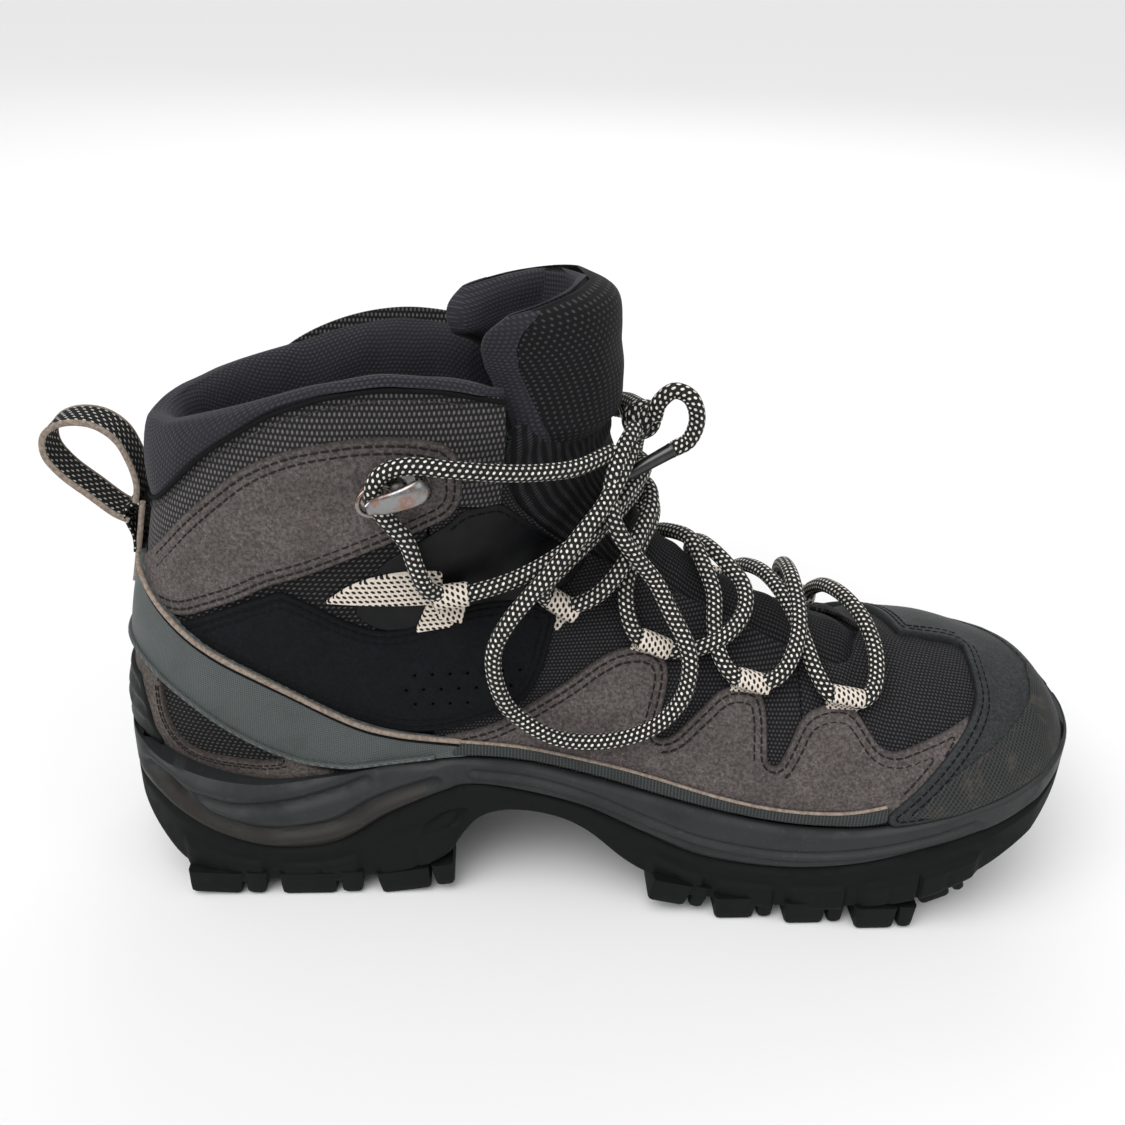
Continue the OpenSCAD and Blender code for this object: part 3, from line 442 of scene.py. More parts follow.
class Shader:
    """A node material, with short names for the nodes it is made of."""

    def __init__(self, name, **sockets):
        self.material = bpy.data.materials.new(name)
        self.material.use_nodes = True
        self.tree = self.material.node_tree
        self.tree.nodes.clear()
        self.bsdf = self.add("ShaderNodeBsdfPrincipled")
        out = self.add("ShaderNodeOutputMaterial")
        self.tree.links.new(self.bsdf.outputs[0], out.inputs[0])
        for key, value in sockets.items():
            self.set(key.replace("_", " "), value)

    def add(self, kind, inputs=None, **settings):
        node = self.tree.nodes.new(kind)
        for key, value in settings.items():
            setattr(node, key, value)
        for key, value in (inputs or {}).items():
            self.put(node.inputs[key], value)
        return node

    def put(self, socket, value):
        if isinstance(value, bpy.types.NodeSocket):
            self.tree.links.new(value, socket)
        else:
            socket.default_value = value

    def set(self, key, value):
        self.put(self.bsdf.inputs[key], value)

    def math(self, operation, a, b=0.0):
        return self.add("ShaderNodeMath", {0: a, 1: b}, operation=operation).outputs[0]

    def mul(self, a, b):
        return self.math("MULTIPLY", a, b)

    def plus(self, a, b):
        return self.math("ADD", a, b)

    def uv(self):
        node = self.add("ShaderNodeSeparateXYZ", {0: self.add("ShaderNodeUVMap").outputs[0]})
        return node.outputs[0], node.outputs[1]

    def noise(self, size_mm, detail=3, rough=.6):
        place = self.add("ShaderNodeTexCoord").outputs["Object"]
        return self.add("ShaderNodeTexNoise", {"Vector": place, "Scale": 1000 / size_mm,
                                               "Detail": detail, "Roughness": rough}).outputs["Fac"]

    def step(self, value, low, high, to_low=0.0, to_high=1.0):
        node = self.add("ShaderNodeMapRange", {"Value": value, "From Min": low, "From Max": high,
                                               "To Min": to_low, "To Max": to_high},
                        interpolation_type="SMOOTHSTEP")
        return node.outputs["Result"]

    def attribute(self, name):
        return self.add("ShaderNodeAttribute", attribute_name=name).outputs["Fac"]

    def wave(self, value, rate):
        return self.math("SINE", self.mul(value, rate))

    def mix(self, factor, a, b):
        node = self.add("ShaderNodeMix", data_type="RGBA")
        for key, value in ((0, factor), (6, a), (7, b)):
            self.put(node.inputs[key], value)
        return node.outputs[2]

    def bump(self, height, distance_mm, strength=1.0, below=None):
        node = self.add("ShaderNodeBump", {"Height": height, "Distance": distance_mm * .001,
                                           "Strength": strength})
        if below is not None:
            self.tree.links.new(below, node.inputs["Normal"])
        return node.outputs[0]

    def cells(self, u, v, pitch_u, pitch_v, lean=0.0):
        """Staggered cells: how far across each, -.5 to .5, both ways."""
        row = self.math("DIVIDE", v, pitch_v)
        shift = self.mul(self.math("MODULO", self.math("FLOOR", row), 2.0), 0.5)
        across = self.plus(self.math("DIVIDE", u, pitch_u), shift)
        if lean:
            across = self.plus(across, self.mul(self.math("FRACT", row), lean))
        return (self.math("SUBTRACT", self.math("FRACT", across), 0.5),
                self.math("SUBTRACT", self.math("FRACT", row), 0.5))

    def dots(self, cells, a, b, soft=.25):
        """1 inside an ellipse in each cell, 0 outside."""
        x = self.math("DIVIDE", cells[0], a)
        y = self.math("DIVIDE", cells[1], b)
        r = self.plus(self.mul(x, x), self.mul(y, y))
        return self.step(r, 1 - soft, 1 + soft, 1.0, 0.0)


def leather(name, colour, dark, roughness=.92, grain=.35, sheen=.35):
    """Suede or nubuck: a fine nap, soft patches of tone and painted shade darkening the edges."""
    m = Shader(name, Roughness=roughness, Sheen_Weight=sheen, Sheen_Roughness=.45,
               Specular_IOR_Level=.16)
    m.set("Sheen Tint", colour)
    patches = m.step(m.noise(14, 4, .65), .36, .64)
    coarse = m.math("SUBTRACT", 1.0, m.step(m.noise(1.0, 5, .75), .40, .60))
    speck = m.step(m.noise(1.1, 3, .7), .57, .68)
    base = m.mix(m.mul(patches, .45), colour, dark)
    base = m.mix(m.mul(coarse, .75), base, times(dark, .62))
    base = m.mix(m.mul(speck, .4), base, times(colour, 1.9))
    # painted shade: darker within 1 mm of a panel's edge, where it steps down to the layer below
    base = m.mix(m.step(m.attribute("edge"), .1, 1.1, .55, 0), base, times(dark, .35))
    m.set("Base Color", base)
    m.set("Normal", m.bump(m.noise(.95, 5, .75), grain, 1.2, m.bump(m.noise(5, 3), .5, .4)))
    return m.material


def knit(name, colour, light, pitch, size, lean=0.0, depth=.35, tone=None, sheen=.15):
    """Mesh cloth: staggered loops of yarn, lighter where they stand up."""
    m = Shader(name, Roughness=.85, Sheen_Weight=sheen, Sheen_Roughness=.5,
               Specular_IOR_Level=.25)
    u, v = m.uv()
    loops = m.dots(m.cells(u, v, *pitch, lean), *size, .6)
    fuzz = m.plus(.55, m.mul(m.step(m.noise(.7, 3), .3, .7), .45))
    base = m.mix(m.mul(loops, fuzz), colour, light)
    if tone is not None:
        base = m.mix(m.step(m.noise(26, 3), .4, .65, 0, .5), base, tone)
    m.set("Base Color", base)
    m.set("Normal", m.bump(loops, depth, .9, m.bump(m.noise(.6, 2), .15, .5)))
    return m.material


def rubber(name, colour, worn, roughness, dust):
    """Rubber or foam: a fine matt skin, with dust and scuffs."""
    m = Shader(name, Specular_IOR_Level=.18)
    patches = m.step(m.noise(9, 5, .7), .42, .68)
    scuff = m.step(m.noise(1.6, 6, .8), .56, .76)
    base = m.mix(m.mul(patches, dust), colour, worn)
    base = m.mix(m.mul(scuff, dust * .55), base, worn)
    m.set("Base Color", base)
    m.set("Roughness", m.step(patches, 0, 1, roughness, min(1, roughness + .18)))
    m.set("Normal", m.bump(m.noise(.9, 4), .08, .7, m.bump(m.noise(7, 3), .25, .3)))
    return m.material


def mottled(name, colour, other, mix, grain, **sockets):
    """A plain surface in two tones. mix is the patches' size, detail and contrast, grain is the
    bump's size, detail, height and strength."""
    m = Shader(name, **sockets)
    size, detail, low, high = mix
    m.set("Base Color", m.mix(m.step(m.noise(size, detail), low, high), colour, other))
    size, detail, height, strength = grain
    m.set("Normal", m.bump(m.noise(size, detail), height, strength))
    return m.material


def thread(name, colour):
    return mottled(name, colour, times(colour, .6), (1.1, 3, .35, .65), (.5, 2, .1, .6),
                   Roughness=.8, Specular_IOR_Level=.15)


def lace_material():
    m = Shader("lace_braid", Roughness=.7, Sheen_Weight=.05, Specular_IOR_Level=.25)
    u, v = m.uv()
    turn = m.mul(v, 10.0)
    dots = m.dots(m.cells(u, turn, 1.9, 1.0, .25), .235, .30, .3)
    braid = m.math("SINE", m.plus(m.mul(u, 6.44), m.mul(turn, 3.14)))
    yarn = m.mix(m.step(m.noise(1.2, 3), .3, .7), srgb(9, 9, 10), srgb(27, 27, 28))
    spot = m.mix(m.step(m.noise(3, 2), .35, .7), srgb(238, 235, 224), srgb(205, 200, 188))
    m.set("Base Color", m.mix(dots, yarn, spot))
    m.set("Normal", m.bump(dots, .30, .9, m.bump(braid, .14, .6)))
    return m.material


def webbing_material(name, ground, spot, pitch, size):
    m = Shader(name, Roughness=.8, Specular_IOR_Level=.2)
    u, v = m.uv()
    dots = m.dots(m.cells(u, v, *pitch, .5), *size, .35)
    tone = m.mix(m.step(m.noise(2, 3), .3, .7, 0, .5), ground, times(ground, .72))
    m.set("Base Color", m.mix(dots, tone, spot))
    m.set("Normal", m.bump(dots, .25, -.8, m.bump(m.wave(u, 9.0), .1, .5)))
    return m.material


def relief_material(name, pattern, low, high, stain, patches, depth, **sockets):
    """Cloth or rubber with a raised pattern. patches are the stain's size, detail, roughness,
    contrast and share, depth is the bump's height and strength."""
    m = Shader(name, **sockets)
    weave = pattern(m, *m.uv())
    size, detail, rough, start, full, share = patches
    dirt = m.step(m.noise(size, detail, rough), start, full, 0, share)
    m.set("Base Color", m.mix(dirt, m.mix(weave, low, high), stain))
    m.set("Normal", m.bump(weave, *depth))
    return m.material


def diagonal_weave(m, u, v):
    one = m.wave(m.plus(u, v), 4.6)
    two = m.wave(m.math("SUBTRACT", m.mul(u, 1.5), v), 4.6)
    return m.step(m.mul(one, two), -.5, .8)


def upright_ribs(m, u, v):
    cross = m.mul(m.wave(v, 6.0), .35)
    return m.step(m.plus(m.wave(u, 6.2), cross), -.9, .9)


def cross_hatch(m, u, v):
    one = m.wave(m.plus(u, m.mul(v, .6)), 4.2)
    two = m.wave(m.math("SUBTRACT", u, m.mul(v, .9)), 4.2)
    return m.step(m.math("MAXIMUM", one, two), .2, 1)


def metal(name, colour, wear, roughness):
    m = Shader(name, Metallic=1.0)
    m.set("Base Color", m.mix(m.step(m.noise(3.5, 3), .48, .66, 0, .8), colour, wear))
    m.set("Roughness", m.step(m.noise(1.5, 4), .35, .7, roughness, roughness + .25))
    m.set("Normal", m.bump(m.noise(1.5, 3), .05, .5))
    return m.material


LACE = lace_material()
AGLET = mottled("aglet_film", srgb(16, 16, 17), srgb(34, 34, 35), (2.5, 4, .4, .7),
                (1.4, 3, .08, .6), Roughness=.28, Coat_Weight=.3)
GREY_SUEDE = leather("grey_suede_nap", srgb(107, 100, 98), srgb(72, 66, 65), grain=.5, sheen=.12)
BROWN_SUEDE = leather("brown_suede_nap", srgb(100, 93, 89), srgb(68, 62, 59), sheen=.12)
NUBUCK = leather("black_nubuck_nap", srgb(17, 19, 23), srgb(8, 9, 12), .8, .22, .04)
CAP = leather("toe_cap_skin", srgb(54, 57, 58), srgb(38, 41, 42), .5, .12, .02)
MESH = knit("upper_mesh_knit", srgb(10, 10, 12), srgb(66, 66, 70), (1.15, 1.05), (.32, .30),
            sheen=.03)
COARSE = knit("heel_mesh_knit", srgb(4, 4, 5), grey(80), (1.7, 1.5), (.26, .24), .5, .5, sheen=.03)
COLLAR_KNIT = knit("collar_mesh_knit", srgb(30, 29, 31), srgb(116, 112, 112), (1.3, 1.8),
                   (.26, .34), 0, .4, sheen=.05)
TONGUE_KNIT = knit("tongue_mesh_knit", srgb(5, 5, 7), srgb(62, 63, 68), (1.8, 1.5), (.20, .26), 0,
                   .5, sheen=.03)
THROAT_KNIT = knit("tongue_throat_knit", srgb(6, 6, 8), srgb(56, 57, 62), (1.1, 1.5), (.34, .26),
                   0, .5, sheen=.03)
LINING = knit("lining_spacer_knit", srgb(28, 27, 33), srgb(58, 56, 65), (1.5, 1.3), (.30, .30), 0,
              .3, tone=srgb(40, 38, 45), sheen=.08)
SOCK = knit("sockliner_knit", srgb(34, 34, 38), srgb(58, 58, 62), (2.0, 1.6), (.3, .34), 0, .2)
GUSSET = knit("gusset_weave", srgb(24, 24, 28), srgb(44, 44, 49), (1.0, 1.0), (.34, .34), 0, .2)
FILM = mottled("eyestay_gloss", srgb(6, 7, 9), srgb(14, 15, 18), (5, 4, .4, .7), (3, 3, .18, .5),
               Roughness=.45, Specular_IOR_Level=.2)
STRAP = relief_material("strap_weave", diagonal_weave, srgb(60, 65, 65), srgb(93, 99, 98),
                        srgb(52, 58, 56), (12, 4, .6, .45, .7, .35), (.16, .8),
                        Roughness=.55, Specular_IOR_Level=.3)
RAND = relief_material("rand_ribs", upright_ribs, srgb(38, 42, 42), srgb(62, 67, 66),
                       srgb(44, 44, 43), (14, 4, .6, .45, .7, .5), (.28, .9),
                       Roughness=.65, Specular_IOR_Level=.3)
BUMPER = relief_material("bumper_hatch", cross_hatch, srgb(17, 20, 20), srgb(54, 56, 55),
                         srgb(84, 76, 66), (7, 6, .7, .5, .68, .55), (.3, .9),
                         Roughness=.6, Specular_IOR_Level=.35)
GUARD = rubber("heel_guard_rubber", srgb(20, 22, 23), srgb(52, 52, 51), .5, .25)
STIFF = rubber("stiffener_sheet", srgb(150, 150, 148), srgb(120, 120, 118), .5, .4)
OUTSOLE = rubber("outsole_rubber_skin", srgb(7, 11, 10), srgb(32, 33, 30), .68, .25)
CHASSIS = rubber("chassis_moulding", srgb(9, 12, 12), srgb(30, 31, 30), .5, .2)
BOARD = mottled("board_fibre", srgb(168, 150, 120), srgb(134, 118, 92), (3, 5, .35, .65),
                (1, 4, .1, .6), Roughness=.85)
DARK_THREAD = thread("dark_thread", srgb(14, 13, 14))
SUEDE_THREAD = thread("suede_thread", srgb(40, 37, 36))
GREY_THREAD = thread("grey_thread", grey(70))
TAN = thread("tan_piping", srgb(150, 136, 124))
PALE_THREAD = thread("pale_welt_thread", srgb(126, 124, 112))
WEB = webbing_material("cream_webbing_weave", srgb(222, 211, 198), srgb(20, 18, 18), (1.75, 1.5),
                       (.33, .32))
BLACK_WEB = webbing_material("black_webbing_weave", srgb(15, 15, 16), srgb(196, 194, 186),
                             (2.2, 2.0), (.20, .20))
CHROME = metal("worn_chrome", grey(142), srgb(146, 108, 90), .18)
DULL = metal("rivet_steel", grey(150), srgb(96, 92, 90), .34)

# ---- the free lace: its routes repeat the CAD source ----
BOW_NEAR = [[151, -12, 152], [147, -19, 148], [144, -25, 142], [143, -28, 135], [145, -30, 128],
            [150, -30, 120], [157, -30, 111], [162, -33, 102], [167, -37, 93], [168, -40, 85],
            [165, -43, 76], [156, -45, 68], [142, -45, 64], [128, -44, 65], [116, -43, 73],
            [111, -43, 83], [110, -43, 94], [114, -43, 104], [120, -42, 112], [127, -40, 120],
            [134, -36, 128], [141, -30, 135], [146, -24, 142], [150, -16, 148]]
BOW_FAR = [[154, 2, 153], [151, 13, 151], [148, 23, 147], [146, 31, 140], [144, 37, 131],
           [143, 41, 120], [141, 43, 109], [137, 46, 98], [130, 48, 88], [121, 49, 80],
           [111, 49, 81], [105, 49, 90], [104, 48, 101], [108, 47, 111], [116, 46, 121],
           [126, 42, 130], [135, 35, 137], [143, 25, 144], [150, 12, 148]]
TAIL_NEAR = [[157, -7, 153], [158, -8, 158], [162, -9, 162], [167, -10, 160], [169, -11, 154],
             [167, -12, 148], [162.5, -13, 145.5]]
TAIL_FAR = [[156, 2, 148], [157, 12, 147], [157, 21, 142], [157, 28, 134], [157, 33, 124],
            [158, 37, 113], [160, 40, 102], [162, 43, 92]]
BAR = [[222, -38.8, 74.2], [226.5, -35, 77], [228.5, -26, 83], [227, -15, 88.5], [223.5, -3, 90.5],
       [220.5, 9, 88], [219.5, 19, 81.5], [219.5, 25, 76]]
END_A = [[217, -38.5, 75], [212, -38, 76.3], [208, -33.5, 81.5], [206, -27, 86.5],
         [204, -18, 91.5], [201, -9, 95.5], [197.5, 2, 96.5], [194, 13, 93.5], [192, 22, 87.5],
         [191, 28.5, 81], [188, 30.5, 79.5], [183.5, 31, 81.5], [178.5, 26, 90], [175.5, 17, 98],
         [175.5, 6, 106], [178.5, -4, 108], [183.5, -11, 105], [187, -16.5, 101.5],
         [186.5, -23, 97], [181.5, -28.5, 92.5], [174, -31.5, 89.5], [166, -31.8, 87.6],
         [158, -31, 89.5], [153, -30.3, 92], [150, -28.5, 98.5], [149.5, -25, 107],
         [153, -19.5, 116], [157.5, -11, 121.5], [158.5, -1, 123], [154.5, 9, 122.5],
         [146.5, 20, 119], [138, 29, 110], [130, 32.5, 102.5], [125.5, 34.5, 105.8],
         [125, 34.5, 113], [134, 28, 121], [144, 17, 130], [153.5, 5, 135.5], [155, -6, 136],
         [149, -17, 133.5], [140, -26.5, 127], [129, -33, 121], [118, -37, 116], [108, -39, 113],
         [98, -39.5, 111], [91.5, -42, 114.5], [88.5, -43, 122], [86, -43, 130],
         [80.5, -42.8, 137], [77.5, -42.8, 144], [80.5, -42.8, 150], [88, -43.5, 152.5],
         [99, -43.5, 151.5], [111, -39.5, 149], [122, -34.5, 147], [133, -28.5, 146],
         [144, -19, 147]]
END_B = [[217, 26, 75], [212.5, 28, 77], [209, 26, 83.5], [206.5, 16, 92], [205, 4, 98],
         [204.5, -8, 99], [204.5, -18, 95], [203, -27, 90], [199, -34, 84], [194, -37, 80.5],
         [188, -36.5, 79.5], [183, -36.2, 81], [178.5, -33, 86], [177, -26.5, 93],
         [177.5, -18.5, 100], [175, -10, 106], [172, -1, 110], [167, 9, 108], [163.5, 18.5, 103],
         [160.5, 27, 95], [158, 31.5, 89.5], [153, 33, 92], [147.5, 33, 99.5], [146.5, 28, 108.5],
         [149, 18, 118], [153, 7, 127], [157, -3, 129], [157, -12, 126], [153, -20, 121],
         [148.5, -26.5, 115], [142, -30.5, 108], [136, -31, 104], [130, -30, 102.5],
         [125.5, -31, 105], [124.5, -33, 110.5], [131, -31, 117.5], [140, -24.5, 124],
         [149, -14, 128.5], [154.5, -1, 130], [151.5, 12, 127.5], [142, 26, 121.5],
         [130, 36, 116.5], [119, 39.5, 114], [108, 41.5, 112.5], [98, 41.8, 111],
         [91.5, 43.8, 114.5], [88.5, 44.5, 122], [86, 44.5, 130], [80.5, 44, 137],
         [77.5, 43.9, 144], [80.5, 43.9, 150], [88, 44.5, 152.5], [99, 45, 152], [111, 41.5, 150],
         [123, 36.5, 149], [134, 29, 148.5], [144, 18, 149]]
LACE_D = 4.9                               # a little pressed in its 5 mm
KNOT = np.array([154.0, -1.0, 150.0])
AGLETS = [([162.3, -13.1, 145.4], [148, -17, 138.5]), ([162.1, 43.1, 91.8], [165, 46, 79])]


def revolve(name, start, end, profile, material, slot):
    """A turned piece from start to end. profile is (fraction along, radius)."""
    start, end = np.array(start, float), np.array(end, float)
    way = unit(end - start)
    side = unit(np.cross(way, [.3, .9, .2]))
    other = np.cross(way, side)
    angle = np.linspace(0, 2 * np.pi, TURNED_SIDES, endpoint=False)[:, None]
    spokes = side * np.cos(angle) + other * np.sin(angle)
    return closed_form(name, [start + (end - start) * f + r * spokes for f, r in profile],
                       material, slot)


TIP = [(0, 2.0), (.01, 2.3), (.05, 2.36), (.07, 2.25), (.9, 1.9), (.97, 1.75), (1, 1.2)]
tips = [revolve("aglet_" + label, start, end, TIP, AGLET, "aglet_plastic")
        for label, (start, end) in zip(("near", "far"), AGLETS)]
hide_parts("aglets")

for label, route, end, tip in (("bow_loop_near", BOW_NEAR, "knot", None),
                               ("bow_loop_far", BOW_FAR, "knot", None),
                               ("lace_tail_near", TAIL_NEAR, "fitting", tips[0]),
                               ("lace_tail_far", TAIL_FAR, "fitting", tips[1])):
    piece, line, length = lace_tube(label + "_braid", route, LACE_D, LACE, "lace_braid", .9)
    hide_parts(label)
    tuple(metres(route[0]))
    [tuple(p) for p in metres(line[::3])]

piece = lace_tube("lace_braid_main", END_A[::-1] + BAR + END_B, LACE_D, LACE, "lace_braid")[0]
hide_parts("lace")

# the knot's turns: two directions in the turn's plane, radius, degrees
for i, (axis_a, axis_b, radius, sweep) in enumerate((((1, .1, .5), (-.3, .2, 1), 3.6, 330),
                                                     ((.1, 1, .2), (.5, -.1, .9), 4.0, 335),
                                                     ((.7, .7, .0), (-.2, .3, .9), 3.3, 300))):
    a = unit(np.array(axis_a, float))
    b = unit(np.cross(np.cross(a, axis_b), a))
    turn = np.radians(np.linspace(0, sweep, 14))[:, None]
    ring = KNOT + radius * (a * np.cos(turn) + b * np.sin(turn))
    piece = lace_tube("lace_knot_%d" % (i + 1), ring, LACE_D, LACE, "lace_braid", .8)[0]
    if i == 0:
        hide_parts("lace_knot")


# ---- panels of the upper ----
def triangulate(outline, holes, fill):
    """Triangles over an outline's inside, through the fill's points."""
    points, edges = [], []
    for loop in [outline] + holes:
        n = len(loop)
        edges += [(len(points) + i, len(points) + (i + 1) % n) for i in range(n)]
        points += [Vector(p) for p in loop]
    found = delaunay_2d_cdt(points + [Vector(p) for p in fill], edges, [], 0, 1e-5)
    flat = np.array([(v.x, v.y) for v in found[0]])
    faces = np.array([list(f) for f in found[2]])
    middle = flat[faces].mean(1)
    keep = inside(middle, outline)
    for hole in holes:
        keep &= ~inside(middle, hole)
    faces = faces[keep]
    used = np.unique(faces)
    renumber = np.full(len(flat), -1)
    renumber[used] = np.arange(len(used))
    return flat[used], renumber[faces]


def sheet_faces(faces, n):
    """Both faces of a sheet of n points and the wall round its open edges."""
    out = [list(f) for f in faces] + [[i + n for i in f[::-1]] for f in faces]
    edges = np.concatenate([faces[:, [0, 1]], faces[:, [1, 2]], faces[:, [2, 0]]])
    key = np.sort(edges, 1)
    _, first, count = np.unique(key, axis=0, return_index=True, return_counts=True)
    out += [[b, a, a + n, b + n] for a, b in edges[first[count == 1]]]
    return out


RINGS = (.3, .7, 1.2, 1.7, 2.3, 3.0, 3.8, 4.8)   # rows of points this far inside a panel's edge
LIP = .45                                  # how much of a panel's thickness its edge has
GROOVE_W = .45
CLEAR = .25                                # a point nearer an edge than this is left out
PRICK_R = .55


def panel(name, node, plane, outline, material, slot, base=.05, thick=1.3, windows=(), pricks=(),
          grid=2.4, corner=2.0, puff=0.0, wave=.14, seed=1, shape=None, edge=.7, under=.3,
          grooves=(), depth=.28):
    """A piece of the upper: an outline in one of the flat planes, laid on the last. It has rounded
    edges, sunk stitch lines, a little padding and an uneven surface. base and thick are its
    underside's height over the last and its thickness, shape adds to its height."""
    outline = rounded(outline, corner)
    windows = [rounded(w, corner) for w in windows]
    a = np.linspace(0, 5.5, 8)
    pricks = [np.array(p) + PRICK_R * np.stack([np.cos(a), np.sin(a)], -1) for p in pricks]
    borders = [outline] + windows
    fill = [inset(outline, d) for d in RINGS] + [inset(w, -d) for w in windows for d in RINGS]
    low, high = outline.min(0), outline.max(0)
    gx, gy = np.meshgrid(np.arange(low[0], high[0], grid), np.arange(low[1], high[1], grid * .866))
    gx = gx + (np.arange(gx.shape[0]) % 2)[:, None] * grid / 2
    hexes = np.stack([gx.ravel(), gy.ravel()], -1)
    hexes = hexes[inside(hexes, outline)]
    near = np.min([distance(hexes, b) for b in borders], 0)
    fill = np.concatenate(fill + [hexes[near > RINGS[-1] + .5 * grid]])
    fill = fill[inside(fill, outline) & (distance(fill, outline) > CLEAR)]
    for w in windows:
        fill = fill[~inside(fill, w) & (distance(fill, w) > CLEAR)]
    for p in pricks:
        fill = fill[~inside(fill, p) & (distance(fill, p) > .3)]
    _, first = np.unique(np.round(fill / .45).astype(int), axis=0, return_index=True)
    flat, faces = triangulate(outline, windows + pricks, fill[np.sort(first)])
    point, normal = surface(plane, flat)
    d = np.min([distance(point, surface(plane, b)[0]) for b in borders], 0)
    roll = np.sqrt(1 - (1 - np.clip(d / edge, 0, 1)) ** 2)
    height = thick * (LIP + (1 - LIP) * roll) + puff * (1 - np.exp(-d / 6))
    for g in grooves:
        height -= depth * np.exp(-((d - g) / GROOVE_W) ** 2)
    for p in pricks:
        height -= .4 * np.exp(-(distance(flat, p) / .4) ** 2)
    height += wave * wobble(point, 30, seed) * np.clip(d / 5, 0, 1)
    if shape is not None:
        height += shape(flat, point, d)
    top = point + normal * (base + height)[:, None]
    bottom = point + normal * (base - under)
    # edge: distance to the panel's edge, used by the leather for its painted edge shade
    piece = link_mesh(name, np.concatenate([top, bottom]), sheet_faces(faces, len(flat)), material,
                      slot, uv=np.concatenate([flat, flat]),
                      layers={"edge": np.concatenate([np.minimum(d, 5)] * 2)})
    weld(piece)
    if node:
        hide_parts(node)
    return outline


def runs(line):
    """A line of points split where it jumps."""
    jump = 2.6
    gaps = np.where(np.linalg.norm(np.diff(line, axis=0), axis=1) > jump)[0] + 1
    return [r for r in np.split(line, gaps) if len(r) > 4]


def beads(name, lines, material, slot, radius, pitch, fullness=.8):
    """A stitch for every pitch along each line of points."""
    profile = ((0, .35), (.1, .85), (.5, 1), (.9, .85), (1, .35))
    angle = np.linspace(0, 2 * np.pi, STITCH_SIDES, endpoint=False)[:, None]
    stitch_faces = capped_faces(len(profile), STITCH_SIDES)
    points, faces = [], []
    for line in lines:
        spots = resample(line, pitch)
        for a, b in zip(spots[:-1], spots[1:]):
            spare = (1 - fullness) / 2 * (b - a)
            a, b = a + spare, b - spare
            way = unit(b - a)
            side = unit(np.cross(way, [.21, .13, .97]))
            ring = side * np.cos(angle) + np.cross(way, side) * np.sin(angle)
            start = len(points) * STITCH_SIDES
            points += [a + (b - a) * f + ring * radius * size for f, size in profile]
            faces += [[i + start for i in face] for face in stitch_faces]
    link_mesh(name, np.concatenate(points), faces, material, slot)


def seam_lines(plane, outline, offsets, height, where=None):
    """Lines on the last at each offset inside an outline."""
    out = []
    for offset in offsets:
        line = inset(outline, offset)
        if where is not None:
            line = line[where(line)]
        out += [raised(plane, run, height) for run in runs(line)]
    return out


def strip(name, line, profile, material, slot, body="root", side=None, size=None):
    """A profile (across, up) swept along a line. side gives the across direction, for the whole
    line or at each point, and size makes the profile bigger at each point."""
    ways = unit(np.gradient(line, axis=0))
    if side is None:
        across, up = carried(line)
    else:
        across = unit(side - (side * ways).sum(-1, keepdims=True) * ways)
        up = np.cross(ways, across)
    size = np.ones((len(line), 2)) if size is None else size
    rings = line[:, None] + (profile[:, 0] * size[:, :1])[..., None] * across[:, None] \
        + (profile[:, 1] * size[:, 1:])[..., None] * up[:, None]
    wide = int(np.ptp(profile[:, 1]) > np.ptp(profile[:, 0]))
    uv = np.stack(np.broadcast_arrays(running_length(line)[:, None], profile[None, :, wide]), -1)
    return closed_form(name, rings, material, slot, body=body, uv=uv.reshape(-1, 2))


def squared(wave, power):
    """A sine or cosine pushed outwards, to make a round section squarer."""
    return np.sign(wave) * np.abs(wave) ** power


def oval(width, thick, n, power):
    """A flat rounded section."""
    a = np.linspace(0, 2 * np.pi, n, endpoint=False)
    return np.stack([squared(np.cos(a), power) * width / 2, squared(np.sin(a), power) * thick / 2],
                    -1)


def mirrored(lateral, medial=None):
    """A side-view chain laid in the toe's plane on the lateral side, then back on the medial."""
    return np.concatenate([to_toe(lateral, 1), to_toe(medial or lateral, -1)[::-1]])


SIDES = (("medial", -1), ("lateral", 1))


def crease(flat, point, d):
    """Flex creases across the vamp."""
    x = point[:, 0]
    fold = np.sin(x * .62 + np.sin(point[:, 1] * .08) * 1.2) * np.exp(-((x - 224) / 22) ** 2)
    return .55 * fold * np.clip(d / 4, 0, 1)


# mesh base
VAMP = [[231, 88], [229, 82.5], [222, 78.8], [214, 79.2], [204, 82.6], [204, 37], [222, 36],
        [242, 40], [262, 47], [270, 51], [270, 90]]
panel("vamp_mesh_knit", "vamp_mesh", "toe", mirrored(VAMP), MESH, "upper_mesh", -.9, .9,
      shape=crease, wave=.3, seed=3, corner=1)
QUARTER = [[92, 44], [203.7, 36], [203.7, 82.9], [198, 85.2], [174, 96.2], [154, 105.2],
           [138, 114.7], [127, 122.2], [115, 136], [113, 149], [112, 133.7], [96, 136.7],
           [92, 137]]
for side, sign in SIDES:
    panel("quarter_mesh_%s_knit" % side, "quarter_mesh_" + side, side, QUARTER, MESH,
          "upper_mesh", -.9, .9, wave=.25, seed=4 + sign, corner=1)
panel("heel_mesh_knit", "heel_mesh", "heel",
      round_heel([[-9, 105.7], [6, 105.7], [20, 121.7], [40, 139.7], [58, 148.7], [80, 150.7],
                  [91.7, 148.7], [91.7, 45], [60, 40], [24, 38], [-9, 44]]), COARSE, "upper_mesh",
      -.9, .9, corner=1, seed=6)
panel("collar_mesh_knit", "collar_mesh", "heel",
      round_heel([[-9, 106], [6, 106], [20, 122], [40, 140], [58, 149], [80, 151], [92, 149],
                  [96, 137], [112, 134], [113, 167.5], [97, 172], [81, 173], [66, 170.5],
                  [51, 165], [33, 152.5], [20, 138.5], [14, 132], [8, 127], [-9, 127]]),
      COLLAR_KNIT, "upper_mesh", -.9, .9, corner=1, puff=.5, wave=.35, seed=7)

